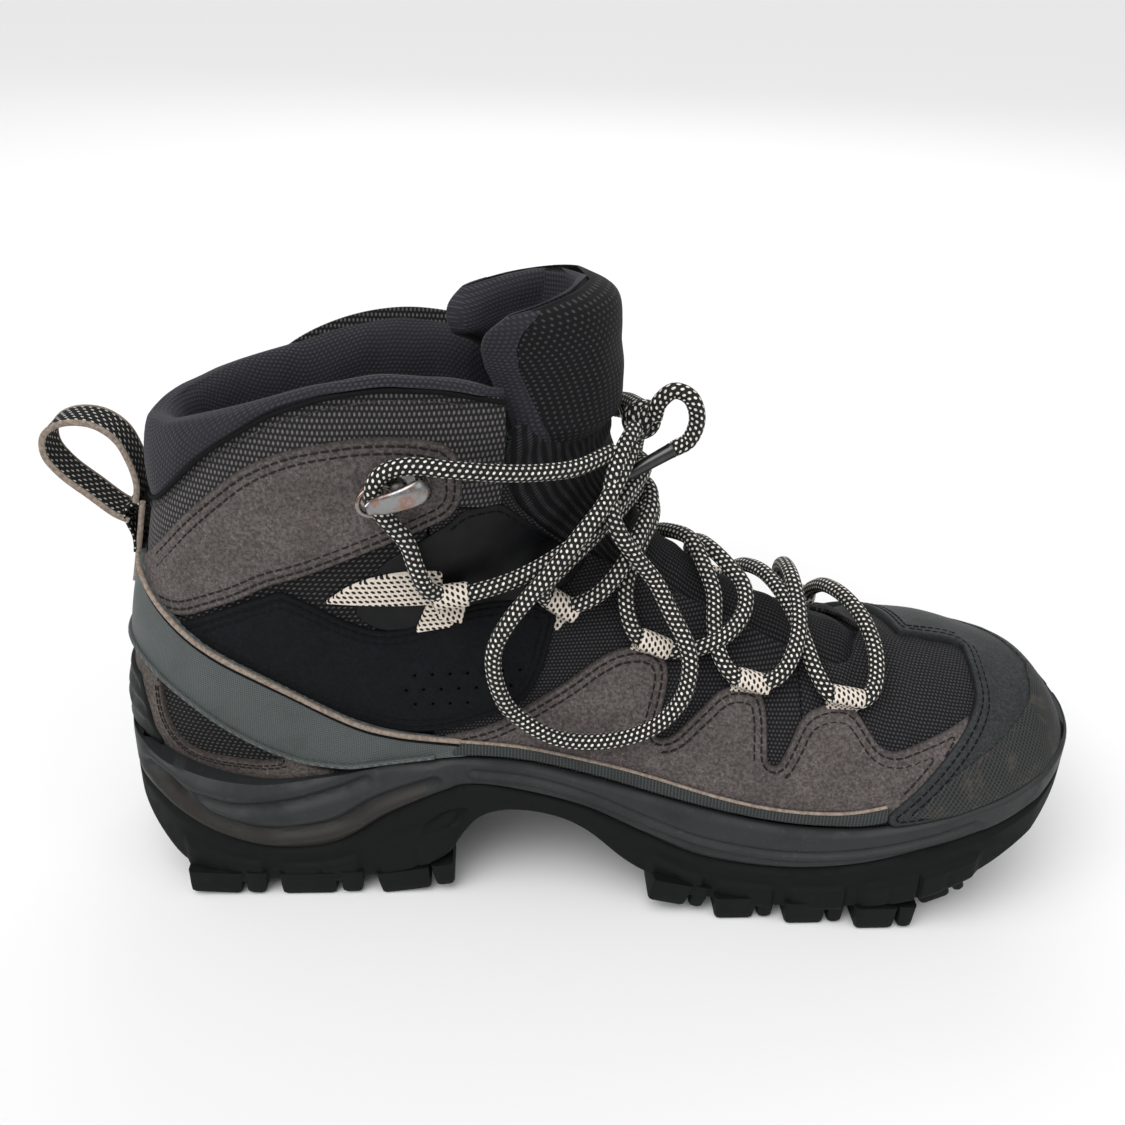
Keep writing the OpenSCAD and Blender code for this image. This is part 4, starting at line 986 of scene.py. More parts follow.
# overlays
ANKLE = [[2, 104], [14, 119], [22, 129], [32, 139], [41, 147], [50, 152], [58, 155], [74, 158],
         [88, 158], [97, 156], [101, 151], [101, 139], [98, 134], [87, 129], [73, 123], [57, 116],
         [46, 112.3], [38, 107.3], [29, 103], [19, 97.5], [2, 97.5]]
NUBUCK_LINE = [[12, 96.5], [19, 96], [29, 101.5], [38, 106], [50, 111], [58, 107], [66, 102],
               [77, 97], [87, 98], [97, 103], [108, 105], [120, 104], [129, 99], [127, 90],
               [125, 82], [121, 73], [113, 68], [95, 62], [81, 62], [60, 70], [40, 83], [27, 89],
               [12, 96]]
EYESTAY = [[76, 118], [87, 125], [97, 131], [101, 135], [112, 136], [127, 121.5], [138, 113.5],
           [131, 105], [120, 103], [108, 104], [97, 102.5], [87, 97], [76, 97.5], [70, 104]]
FOREFOOT = [[94, 60], [105, 62], [113, 65], [122, 71], [132, 77], [140, 83], [148, 87], [158, 87],
            [163, 83], [163, 77], [159, 61], [164, 62], [170, 68], [180, 77], [191, 76], [193, 70],
            [193, 57], [196, 56], [204, 70], [213, 72], [220, 71], [227, 62], [232, 61], [246, 65],
            [257, 69], [247, 57.5], [238, 49], [232, 43.5], [215, 39.5], [190, 40.5], [160, 46],
            [130, 50], [110, 53.5], [97, 54]]
FOREFOOT_LATERAL = FOREFOOT[:21] + [[231, 66], [225.5, 53], [218, 40]] + FOREFOOT[29:]
spots = np.array([(x + 2.6 * (row % 2), z) for row, z in enumerate((67, 72, 77, 82))
                  for x in np.arange(84, 122, 5.2)])
nubuck_edge = np.array(NUBUCK_LINE, float)
PRICKS = spots[inside(spots, nubuck_edge) & (distance(spots, nubuck_edge) > 5.6)]
for side, sign in SIDES:
    outline = panel("ankle_suede_%s_panel" % side, "ankle_suede_" + side, side, ANKLE, GREY_SUEDE,
                    "grey_suede", seed=11 + sign, puff=.3, grooves=(2, 4.2))
    suede_rows = seam_lines(side, outline, (2, 4.2), 1.40, lambda p: p[:, 0] > 12)
    outline = panel("nubuck_%s_panel" % side, "nubuck_quarter_" + side, side, NUBUCK_LINE, NUBUCK,
                    "black_nubuck", seed=14 + sign, puff=.35, grooves=(2, 4.2), pricks=PRICKS)
    nubuck_rows = seam_lines(side, outline, (2, 4.2), 1.42, lambda p: p[:, 0] > 16)
    outline = panel("eyestay_%s_film" % side, "eyestay_film_" + side, side, EYESTAY, FILM,
                    "eyestay_film", thick=.7, seed=17 + sign, wave=.1)
    nubuck_rows += seam_lines(side, outline, (1.8,), .8, lambda p: (p[:, 1] > 108) & (p[:, 0] > 97))
    beads("stitching_%s_nubuck" % side, nubuck_rows, DARK_THREAD, "black_nubuck", .3, 2.9)
    outline = panel("forefoot_suede_%s_panel" % side, "forefoot_suede_" + side, side,
                    FOREFOOT if sign < 0 else FOREFOOT_LATERAL, GREY_SUEDE, "grey_suede",
                    seed=20 + sign, puff=.25, grooves=(1.9, 4.0), corner=2.5)
    # the rows stop where the toe cap begins
    cap_foot, cap_slope = (229, 1.1) if sign < 0 else (216, .7)
    suede_rows += seam_lines(
        side, outline, (1.9, 4.0), 1.38,
        lambda p: (p[:, 1] > 50) & (p[:, 0] < cap_foot + (p[:, 1] - 44) * cap_slope))
    beads("stitching_%s_upper" % side, suede_rows, SUEDE_THREAD, "grey_suede", .34, 2.9)

# heel
heel_cup_chain = [[-9, 82], [3, 80], [9, 77], [21, 70], [31, 62], [40, 56], [52, 50], [62, 46],
                  [54, 43], [40, 40.5], [24, 41.5], [12, 44], [4, 46], [-9, 50]]
heel_window = [[10, 75], [21, 68], [31, 61], [41, 54], [46, 51], [40, 49.5], [29, 49.5], [21, 50],
               [16, 52], [12, 58], [10, 66]]
windows = [to_heel(heel_window, 1), to_heel(heel_window, -1)]
panel("heel_cup_panel", "heel_cup_suede", "heel", round_heel(heel_cup_chain), BROWN_SUEDE,
      "brown_suede", windows=windows, seed=31, corner=1.5, puff=.2)
window_rows = [line for w in windows
               for line in seam_lines("heel", rounded(w, 1.5), (-1.2, -2.4), 1.5)]
beads("stitching_heel_cup", window_rows, SUEDE_THREAD, "brown_suede", .28, 2.2)

strap_chain = [[-9, 108], [6, 108], [14, 100], [27, 91], [40, 85], [50, 79], [60, 72], [70, 66],
               [81, 62.5], [96, 60], [103, 59], [103, 53.5], [96, 53], [80, 51.5], [66, 49],
               [52, 51], [40, 57], [31, 63], [21, 71], [9, 78], [3, 81], [-9, 81]]
panel("heel_strap_cloth", "heel_strap", "heel", round_heel(strap_chain), STRAP, "strap_fabric",
      base=1.4, thick=1.1, seed=33, puff=.7, wave=.1, under=.6,
      shape=lambda flat, point, d: -.95 * np.clip((point[:, 0] - 70) / 24, 0, 1)
      * np.clip(d / 1.5, 0, 1))


def chain_line(plane, chain, height, fade=0.0):
    """A line on the last through a chain of flat points, lower by fade where the strap ends."""
    point, normal = surface(plane, rounded(chain, 6, closed=False))
    return point + normal * (height - fade * np.clip((point[:, :1] - 72) / 24, 0, 1))


def across_heel(chain):
    """A side-view chain from front to heel on the medial side and forward again on the lateral."""
    return np.concatenate([to_heel(chain, -1)[::-1], to_heel(chain, 1)])


upper_edge = across_heel([[4.6, 107.3], [7, 106.2], [14.4, 99.2], [27, 90.2], [40, 84.2],
                          [50, 78.2], [60, 71.2], [70, 65.4], [81, 61.9], [95, 59.6], [100, 58.9]])
lower_edge = across_heel([[-1.8, 82], [3, 82], [9, 79], [21, 72], [31, 64], [40, 58], [52, 52.2],
                          [60, 51], [66, 50.3], [80, 52.4], [92, 53.5]])
strip("strap_piping", chain_line("heel", upper_edge, 2.9, .9), oval(1.7, 1.5, 12, .9), TAN,
      "strap_fabric")
strip("strap_piping_shadow", chain_line("heel", upper_edge - [0, 1.6], 2.75, .9),
      oval(.7, .7, 8, 1), DARK_THREAD, "strap_fabric")
strip("strap_welt", chain_line("heel", lower_edge, 2.75, .8), oval(2.1, 1.5, 12, .9), STRAP,
      "strap_fabric")
beads("strap_welt_stitching", [chain_line("heel", lower_edge, 3.35, .8)], PALE_THREAD,
      "strap_fabric", .5, 3.3, .66)
panel("heel_guard_shell", "heel_guard", "heel",
      round_heel([[-9, 72], [3, 72], [5.5, 62], [6, 56], [8, 52], [8, 46], [-9, 49]]), GUARD,
      "outsole_rubber", base=1.4, thick=1.2, seed=35, corner=1.5, puff=.5,
      shape=lambda flat, point, d: .5 * np.cos(flat[:, 1] * 1.05) * np.clip(d / 2, 0, 1))

# rand and toe
RAND_LINE = [[96.5, 53.6], [106, 53.6], [122, 52.2], [140, 48.6], [158, 44.6], [176, 41.2],
             [200, 38.4], [222, 39.4], [230, 41.5], [230, 47], [217, 43.5], [198, 42.5], [179, 45],
             [159, 49.5], [138, 53], [119, 56.5], [100, 58.5]]
for side, sign in SIDES:
    panel("rand_%s_ribs" % side, "rand_" + side, side, RAND_LINE, RAND, "rand_rubber", base=1.4,
          thick=.8, seed=40 + sign, corner=1, wave=.06, grid=2, edge=.5, under=.6)
    line = chain_line(side, [[96, 59.4], [100, 58.9], [119, 56.9], [138, 53.4], [159, 49.9],
                             [179, 45.4], [198, 42.9], [217, 43.9], [229, 47.2]], 2.0)
    strip("rand_piping_%s" % side, line, oval(1.1, 1.0, 10, .9), TAN, "rand_rubber")
cap_lip = [[242, 41.5], [256, 46], [268, 50], [280, 54.5], [290, 57], [296.5, 58]]
cap_lateral = [[240, 90], [240, 74], [230, 64], [222, 52], [214, 39.5], [225, 38]] + cap_lip
cap_medial = [[260.5, 90], [259.5, 71], [255.5, 67.5], [251.5, 64], [243.5, 57], [234.5, 49],
              [229.5, 44], [231, 39.5]] + cap_lip
outline = panel("toe_cap_shell", "toe_cap", "toe", mirrored(cap_lateral, cap_medial), CAP,
                "toe_cap_leather", seed=44, puff=.4, corner=3, grooves=(2.2, 4.4), depth=.22,
                under=1.2, shape=lambda flat, point, d: .7 * np.clip((7 - d) / 5, 0, 1))
cap_rows = [line for offset, height in ((2.2, 2.0), (4.4, 1.8))
            for line in seam_lines("toe", outline, (offset,), height, lambda p: p[:, 0] > 22)]
beads("stitching_toe_cap", cap_rows, DARK_THREAD, "toe_cap_leather", .3, 2.6)
bumper_chain = [[289, 90], [285, 70], [277, 67.5], [262, 62], [247, 55], [236, 43.5], [248, 43.5],
                [256, 46.5], [268, 50.5], [280, 55], [290, 57.5], [296.8, 58]]
panel("toe_bumper_rubber", "toe_bumper", "toe", mirrored(bumper_chain), BUMPER,
      "toe_bumper_rubber", base=1.35, thick=1.1, seed=46, wave=.08, under=.6)

# tongue under the laces
tongue_half = [[230, 92], [228, 81.5], [222, 77.5], [214, 77.5], [198, 83], [174, 94],
               [154, 102.8], [138, 112], [125, 120], [113, 133], [113, 150], [117, 157],
               [125, 159.5], [140, 160], [150, 160]]


def ribs(flat, point, d):
    """Padding that swells in soft ribs between the laces."""
    swell = 2.6 * (1 - np.exp(-np.maximum(d - 1.5, 0) / 3.5))
    return swell + .35 * np.sin(flat[:, 0] * .52) * np.clip(d / 8, 0, 1)


panel("tongue_lower_pad", "tongue_lower", "toe", mirrored(tongue_half), THROAT_KNIT,
      "tongue_mesh", base=-4.0, thick=1.0, seed=50, wave=.25, shape=ribs, under=1.8, corner=3)

# ---- sole ----
# x, medial y, lateral y, ground clearance of the lugs, joint of outsole and midsole, midsole's top
SOLE = np.array([
    [-5.5, -6, 6, 36, 42, 54.5], [-5, -14, 14, 30, 41, 54], [-2, -23, 24, 22, 38, 52.5],
    [4, -30, 32, 13, 35, 50.5], [12, -35, 37, 5, 31, 47.5], [24, -38, 41, 0, 24, 44],
    [40, -39, 43, 0, 18.5, 42.5], [60, -39, 44, 0, 20, 46], [78, -39, 45, 2, 32, 50],
    [95, -39, 45, 9, 41, 52], [106, -39, 46, 19, 42.5, 52], [122, -40, 47, 21, 40, 50.5],
    [140, -43, 49, 17, 36, 47], [158, -46, 52, 8, 28, 43], [176, -50, 55, 1, 22, 39.5],
    [200, -54, 56, 0, 20.5, 36.5], [222, -57, 55, 2, 24, 37.5], [242, -58, 51, 6, 30.5, 42],
    [256, -57, 46, 12, 35, 46.5], [268, -55, 40, 20, 40, 50.5], [280, -50, 32, 29, 46, 56],
    [290, -43, 22, 39, 51, 59], [297, -34, 10, 47, 55, 60.5], [300.5, -24, -1, 52, 56.5, 61],
    [301.5, -17, -8, 53, 57, 61]])
SOLE_END = len(SOLE) - 1
CLEARANCE, JOINT, TOP = 3, 4, 5            # columns of SOLE
SOLE_BACK, SOLE_FRONT, ARCH_X = -5.5, 301.5, 122.0
LUG_H = 5.0
WALL = 30                                  # points up each of the sole's walls
# the two grooves that cut the heel's band and the ridge along the forefoot's
GROOVES = [np.array(g, float) for g in (
    [[4, 45], [9, 43], [14, 38.4], [21, 36.4], [31, 34.4], [47, 36.4], [60, 40.4], [71, 45]],
    [[7, 43], [11, 40], [19, 32.5], [28, 28], [42, 25.4], [60, 28.4], [72, 36], [80, 40],
     [92, 44.5]],
    [[104, 46.6], [122, 44.5], [140, 40.2], [158, 33.2], [176, 28], [200, 25.8], [222, 28.6],
     [242, 34], [258, 39.5]])]
SIDE_LUGS = (25, 55, 86, 168, 190, 212, 234, 252)


def last_floor(x):
    """The height of the last's sole line."""
    foot = smooth(STATIONS, np.linspace(0, 13, 300))
    return np.interp(x, foot[::-1, 0], foot[::-1, 1])


def seats(x, z):
    """How far out the upper's skin is at the sole's rim, on the medial and on the lateral side."""
    spot = np.stack([np.clip(x, 6, 288), z], -1)
    return [surface(side, spot)[0][:, 1] for side, _ in SIDES]


def hump(d, width):
    return np.exp(-(d / width) ** 2)


def midsole_relief(x, z, share):
    """How far the wall stands out, from grooves with swollen edges and one long ridge."""
    side = np.stack([x, z], -1).reshape(-1, 2)
    d = np.array([distance(side, smooth(g, np.linspace(0, len(g) - 1, 60)), closed=False)
                  for g in GROOVES]).reshape(3, *x.shape)
    out = -1.9 * hump(d[:2], 1.7).sum(0) + .9 * hump(d[:2].min(0) - 4.2, 1.9)
    return out + .6 * hump(d[2], .9) - .6 * hump(d[2] - 1.9, .8)


def outsole_relief(x, z, share):
    """The side lugs' blocks, each with a slit, and a sunk leaf under the arch."""
    out = np.zeros_like(x)
    for centre in SIDE_LUGS:
        block = np.clip(((12.5 if centre < 100 else 9) - np.abs(x - centre)) / .9, 0, 1)
        out += 1.3 * block * np.clip((.62 - share) / .12, 0, 1)
        out -= .5 * hump(x - centre, .7) * np.clip((.5 - share) / .1, 0, 1)
    along, over = (x - 95) * .83 + (z - 29) * .56, (z - 29) * .83 - (x - 95) * .56
    leaf = (along / 8) ** 2 + (over / 2.8) ** 2
    return out - 1.3 * np.clip((1.15 - leaf) / .3, 0, 1)


def sole_at(x):
    """Places along SOLE's rows where the sole is at x."""
    along = np.linspace(0, SOLE_END, 3000)
    return np.interp(x, smooth(SOLE, along)[:, 0], along)


def sole_piece(name, node, low, high, rise, x0, x1, material, slot, relief, lift=0.0, lip=4.0,
               hem=.12, seated=False):
    """A band of the sole between two columns of SOLE, hollow above for the upper to sit in, with
    relief on its walls. seated puts the hollow's walls against the upper."""
    u = sole_at(np.concatenate([np.arange(x0, x1, 1.1), [x1]]))
    if x0 == SOLE_BACK:
        u = np.unique(np.concatenate([np.linspace(0, 3, 14), u]))
    if x1 == SOLE_FRONT:
        u = np.unique(np.concatenate([u, np.linspace(SOLE_END - 4, SOLE_END, 16)]))
    q = smooth(SOLE, u)
    x = q[:, 0]
    arch = lift * np.exp(-((x - ARCH_X) / 24) ** 4)
    z1 = q[:, high]
    z0 = np.minimum(q[:, low] + rise, z1 - 1)
    edge = np.minimum(z0 + arch, z1 - 1)
    share = np.linspace(0, 1, WALL)
    wide = 1 - .035 * np.clip(1 - share / hem, 0, 1) ** 2 \
        - .045 * np.clip((share - .8) / .2, 0, 1) ** 2
    mid, half = (q[:, 1] + q[:, 2]) / 2, (q[:, 2] - q[:, 1]) / 2
    z = edge[:, None] + (z1 - edge)[:, None] * share
    grid_x = np.broadcast_to(x[:, None], z.shape)
    out = relief(grid_x, z, np.broadcast_to(share, z.shape))
    out = out * np.clip(half / 15, 0, 1)[:, None]
    walls = []
    for sign in (1, -1):
        slope = np.gradient(mid + sign * half, x)
        nx, ny = -slope * sign, np.ones_like(slope) * sign
        size = np.hypot(nx, ny)
        nx, ny = np.clip(nx / size, -.8, .8)[:, None], (ny / size)[:, None]
        walls.append(np.stack([grid_x + nx * out,
                               mid[:, None] + sign * half[:, None] * wide + ny * out, z], -1))
    shut = np.clip((3 - x) / 3, 0, 1) + np.clip((x - 293) / 3, 0, 1)
    floor = np.clip(last_floor(x) - 1.2, z0 + .8, z1 - .3)
    floor = floor + (z1 - .3 - floor) * shut
    hollow = []
    for (_, sign), skin in zip(SIDES, seats(x, z1)):
        inner = np.maximum(half - lip, half * .5)
        if seated:
            inner = np.clip(sign * (skin - mid) + .7, half * .35, half - 2.2)
        hollow.append(np.stack([np.stack([x, mid + sign * inner * f, z1 * (1 - g) + floor * g], -1)
                                for f, g in ((1, 0), (.97, .35), (.96, 1))], 1))
    medial, lateral = hollow
    under = np.stack([np.stack([x, mid + half * .9 * f, z0 + (edge - z0) * abs(f) ** 3], -1)
                      for f in (-.8, -.5, 0, .5, .8)], 1)
    ring = np.concatenate([walls[0], lateral, medial[:, ::-1], walls[1][:, ::-1], under], 1)
    tone = np.zeros(ring.shape[:2])
    below = np.interp(x, GROOVES[1][:, 0], GROOVES[1][:, 1])[:, None]
    low_band = (z < below - .4) & (grid_x < 90)
    tone[:, :WALL] = low_band
    tone[:, WALL + 6:2 * WALL + 6] = low_band[:, ::-1]
    piece = closed_form(name, ring, material, slot, uv=ring.reshape(-1, 3)[:, [0, 2]],
                        smooth_angle=42, layers={"tone": tone.ravel()})
    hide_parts(node)


def midsole_material():
    m = Shader("midsole_foam_skin", Specular_IOR_Level=.3)
    patches = m.step(m.noise(22, 5, .65), .4, .66)
    scuff = m.step(m.noise(2.2, 6, .8), .55, .75)
    base = m.mix(m.mul(patches, .5), srgb(38, 40, 41), srgb(28, 30, 31))
    base = m.mix(m.attribute("tone"), base, srgb(35, 33, 30))
    base = m.mix(m.mul(scuff, .3), base, srgb(92, 91, 90))
    m.set("Base Color", base)
    m.set("Roughness", m.step(patches, 0, 1, .52, .7))
    m.set("Normal", m.bump(m.noise(1.1, 4), .06, .7, m.bump(m.noise(9, 3), .3, .3)))
    return m.material


sole_piece("midsole_foam", "midsole", JOINT, TOP, .1, SOLE_BACK, SOLE_FRONT, midsole_material(),
           "midsole_foam", midsole_relief, hem=.2, seated=True)
for name, node, start, end in (
        ("outsole_heel_cup", "outsole_heel", SOLE_BACK, ARCH_X - .02),
        ("outsole_forefoot_cup", "outsole_forefoot", ARCH_X + .02, SOLE_FRONT)):
    sole_piece(name, node, CLEARANCE, JOINT, LUG_H, start, end, OUTSOLE, "outsole_rubber",
               outsole_relief, 7, lip=5)


LUG_SIDES = 12


def lug_block(x, y, length, width, bottom, slope=0.0, turn=0.0, tall=9.0):
    """The points of one bevelled lug. The angles are degrees."""
    rows = []
    for height, shrink in ((0, 1.1), (.25, .45), (.9, .1), (3, -.1), (tall, -.5)):
        w, l, r = width / 2 - shrink, length / 2 - shrink, 1.3
        rows.append([[cx * (l - r) + r * np.cos(a), cy * (w - r) + r * np.sin(a), height]
                     for k, (cx, cy) in enumerate(((1, 1), (-1, 1), (-1, -1), (1, -1)))
                     for a in np.radians([0, 45, 90]) + k * np.pi / 2])
    px, py, pz = np.array(rows).reshape(-1, 3).T
    s, t = math.radians(slope), math.radians(turn)
    px, pz = px * math.cos(s) - pz * math.sin(s), px * math.sin(s) + pz * math.cos(s)
    px, py = px * math.cos(t) - py * math.sin(t), px * math.sin(t) + py * math.cos(t)
    return np.stack([px, py, pz], -1) + [x, y, bottom]


def lugs(name, blocks):
    points = np.concatenate([lug_block(*block) for block in blocks])
    block_faces = capped_faces(5, LUG_SIDES)
    faces = [[i + 5 * LUG_SIDES * k for i in face] for k in range(len(blocks))
             for face in block_faces]
    link_mesh(name, points, faces, OUTSOLE, "outsole_rubber", smooth_angle=35)


def with_notch(x, y, length, width, bottom, slope=0.0):
    """A side lug cut by a notch into a long and a short part."""
    a = math.radians(slope)
    return [(x + at * length * math.cos(a), y, length * part, width,
             bottom + at * length * math.sin(a) + raise_, slope)
            for part, at, raise_ in ((.68, -.16, 0), (.26, .37, .5))]


# each lug's x, y, length, width and height over the floor, its slope and its turn
blocks = [(8, 0, 9, 16, 6, -40), (38, 0, 12, 24, .2), (69, 0, 12, 24, .3)]
for sign in (-1, 1):
    blocks.append((14, sign * 17, 10, 20, 4, -35, -sign * 35))
    for x, length, bottom, slope in ((25, 24, .8, -4), (55, 26, .2, 0), (86, 24, 1.5, 8)):
        blocks += with_notch(x, -31 if sign < 0 else 33.5, length, 18, bottom, slope)
lugs("outsole_heel_lugs", blocks)
blocks = [(x, -2, 10, 34, .4) for x in (179, 201, 223)]
blocks += [(245, -5, 9, 34, 2.5, 20), (266, -14, 10, 34, 13, 34), (285, -14, 8, 28, 28.5, 44),
           (275, -38, 12, 14, 21, 38), (271, 18, 12, 14, 16.5, 36)]
for x in (168, 190, 212, 234):
    bottom, slope = (4, -14) if x == 168 else (.2, 0)
    for y in (-42.5 - (x - 168) * .12, 45 - (x - 168) * .05):
        blocks += with_notch(x, y, 18.5, 17, bottom, slope)
blocks += with_notch(255, -43, 15, 18, 6.5, 26) + with_notch(253, 33, 15, 18, 5, 22)
lugs("outsole_forefoot_lugs", blocks)

# ---- sockliner and bootie ----
def sockliner():
    x = np.concatenate([np.arange(8, 284, 3), [284]])
    along = np.linspace(0, SOLE_END, 2000)
    q = smooth(SOLE, np.interp(x, smooth(SOLE, along)[:, 0], along))
    taper = np.sqrt(np.clip((x - 6) / 26, 0, 1)) * np.sqrt(np.clip((288 - x) / 30, 0, 1))
    mid, half = (q[:, 1] + q[:, 2]) / 2, ((q[:, 2] - q[:, 1]) / 2 - 11) * taper
    base = last_floor(x) + .2 + 6 * np.clip((24 - x) / 20, 0, 1)
    across = np.array([-1, -.97, -.8, -.4, 0, .4, .8, .97, 1])
    cup = np.abs(across) ** 4 * 4
    over = np.stack([np.broadcast_to(x[:, None], (len(x), len(across))),
                     mid[:, None] + half[:, None] * across, base[:, None] + 4 + cup], -1)
    ring = np.concatenate([over, over[:, ::-1] - [0, 0, 3.9]], 1)
    piece = closed_form("sockliner_pad", ring, SOCK, "sockliner_fabric",
                        uv=ring.reshape(-1, 3)[:, :2])
    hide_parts("sockliner")


sockliner()

INNER = dict(corner=1, grid=4)
panel("bootie_lining_back", "bootie_lining", "heel",
      round_heel([[-9, 104], [20, 108], [40, 114], [90, 124], [112.5, 130], [112.5, 37], [60, 35],
                  [24, 35], [-9, 44]]), LINING, "lining_fabric", -3.8, .8, seed=61, **INNER)
panel("bootie_lining_front", None, "toe",
      mirrored([[231, 90], [222, 76], [198, 80], [174, 90], [154, 99], [127, 114], [113.5, 126],
                [113.5, 38], [150, 36], [204, 34], [222, 35], [242, 38], [262, 43], [280, 50],
                [292, 56]]), LINING, "lining_fabric", -3.8, .8, seed=62, **INNER)
panel("heel_counter_sheet", "heel_counter", "heel",
      round_heel([[-9, 92], [20, 92], [40, 84], [56, 62], [60, 46], [24, 44], [-9, 50]]), STIFF,
      "stiffener", -2.6, .9, seed=64, **INNER)
panel("toe_puff_sheet", "toe_puff", "toe",
      mirrored([[266, 90], [262, 66], [264, 44], [280, 50], [292, 56]]), STIFF, "stiffener", -2.6,
      .9, seed=63, **INNER)

# ---- collar ----
RIM = to_heel([[-9, 151], [10, 151], [20, 155], [40, 163], [60, 170], [80, 174], [100, 172],
               [113, 168]])
SEAM = to_heel([[-9, 126], [8, 126], [14, 131], [20, 138], [33, 152], [51, 164.5], [66, 170],
                [81, 172.5], [97, 171.5], [113, 167]])
END = RIM[-1, 0]


def low_outside(round_):
    """How far the collar's outer side is lower than its inner side."""
    return 5.5 * np.clip(round_ / 60, 0, 1) ** 1.5


def collar():
    """The lining, padded, rolling over the collar's edge, with the seam on its outer side."""
    round_ = np.linspace(-END, END, 190)
    kernel = np.hanning(13) / np.hanning(13).sum()

    def softened(line):
        z = np.interp(np.abs(round_), line[:, 0], line[:, 1])
        return np.convolve(np.pad(z, 6, "edge"), kernel, "valid")

    rim_z = softened(RIM) - low_outside(round_)
    seam_z = softened(SEAM) - low_outside(round_) * .8
    ends = np.sqrt(np.clip((END - np.abs(round_)) / 9, 0, 1))[:, None]
    gap_z = rim_z - seam_z
    swell = .25 + .75 * np.clip(gap_z / 14, 0, 1)
    # height and distance off the last, from the seam over the rim and down inside
    over = [(seam_z - 1.2, .1), (seam_z + .2, 1.0 * swell),
            (seam_z + gap_z * .25 + .4, 2.6 * swell), (seam_z + gap_z * .6, 3.3 * swell),
            (rim_z - .4, 2.2 * swell), (rim_z + 1.0, -.8), (rim_z + 1.0, -3.4),
            (rim_z - 1.6, -6.6), (rim_z - 8, -9), (rim_z - 20, -9.6), (rim_z - 34, -7.8),
            (rim_z - 47, -5.4), (rim_z - 56, -4.2)]
    back = [(rim_z - 56, -3.2), (rim_z - 30, -2.6), (seam_z - 1.2, -1.2)]
    high, close = [np.stack([np.stack([z, np.zeros_like(z) + d], -1) for z, d in part], 1)
                   for part in (over, back)]
    places = np.linspace(0, len(over) - 1, 46)
    profile = np.stack([smooth(row, places) for row in high])
    profile[..., 1] = -2 + (profile[..., 1] + 2) * (.25 + .75 * ends)
    profile = np.concatenate([profile, close], 1)
    flat = np.stack([np.broadcast_to(round_[:, None], profile.shape[:2]), profile[..., 0]], -1)
    point, normal = surface("heel", flat)
    puff = wobble(point, 34, 71) * .5 + wobble(point, 12, 72) * .15
    off = profile[..., 1]
    off = off - puff * (off < -3.3) * ends + puff * (off > .5)
    point = point + normal * off[..., None]
    around = np.cumsum(np.linalg.norm(np.diff(point, axis=1), axis=-1), 1)
    around = np.concatenate([np.zeros((len(point), 1)), around], 1)
    piece = closed_form("collar_lining_roll", point, LINING, "lining_fabric", smooth_angle=80,
                        uv=np.stack([flat[..., 0], around], -1).reshape(-1, 2))
    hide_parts("collar_lining", "collar_padding")
    strip("collar_seam_piping", raised("heel", np.stack([round_, seam_z - .4], -1), 1.0),
          oval(1.5, 1.5, 10, 1), DARK_THREAD, "lining_fabric")
    row = raised("heel", np.stack([round_, seam_z - 3.4], -1)[8:-8], .62)
    beads("collar_seam_stitching", [row], GREY_THREAD, "upper_mesh", .26, 2.6, .7)


collar()

# ---- tongue above the laces ----
# height, half angle it is bent round, how far its front leans back, how much its edges fall
TONGUE = np.array([
    [145, 84, 5.5, 0], [151, 90, 2.6, 0], [156, 100, .6, 0], [160.6, 110, 0, 0], [164, 118, 0, 0],
    [170, 130, 0, .1], [176.5, 141, .3, .3], [183, 145, .8, .5], [189, 136, 2.5, .6],
    [193.5, 112, 6, .7]])
TONGUE_R, TONGUE_FRONT, TONGUE_T = 27.0, 148.0, 10.5   # radius it is bent to, front's x, thickness
FACE = 96                                  # points over the face of each tongue piece


def tongue_ring(row, thick, around):
    """Points of the tongue at a level: around is degrees round its flat rounded section, 0 to 180
    over its outer face and 180 to 360 over its inner face."""
    height, spread, lean, fall = row
    middle_r = TONGUE_R - TONGUE_T / 2
    length = math.radians(spread) * middle_r
    a = np.radians(around)
    s = np.sin(a)
    along = squared(np.cos(a), .42) * length
    edge = np.clip(np.abs(along) / length, 0, 1)
    deep = TONGUE_T / 2 - squared(s, .62) * thick / 2 * (1 + .25 * edge ** 2 * (s < 0))
    r = TONGUE_R - (deep - 1.2 * edge ** 6)
    angle = along / middle_r + math.radians(18) * np.clip((height - 158) / 22, 0, 1)
    z = height - .3 * TONGUE_R * (1 - np.cos(angle)) * fall
    x = TONGUE_FRONT - lean - TONGUE_R + r * np.cos(angle)
    return np.stack([x, r * np.sin(angle), z], -1), along


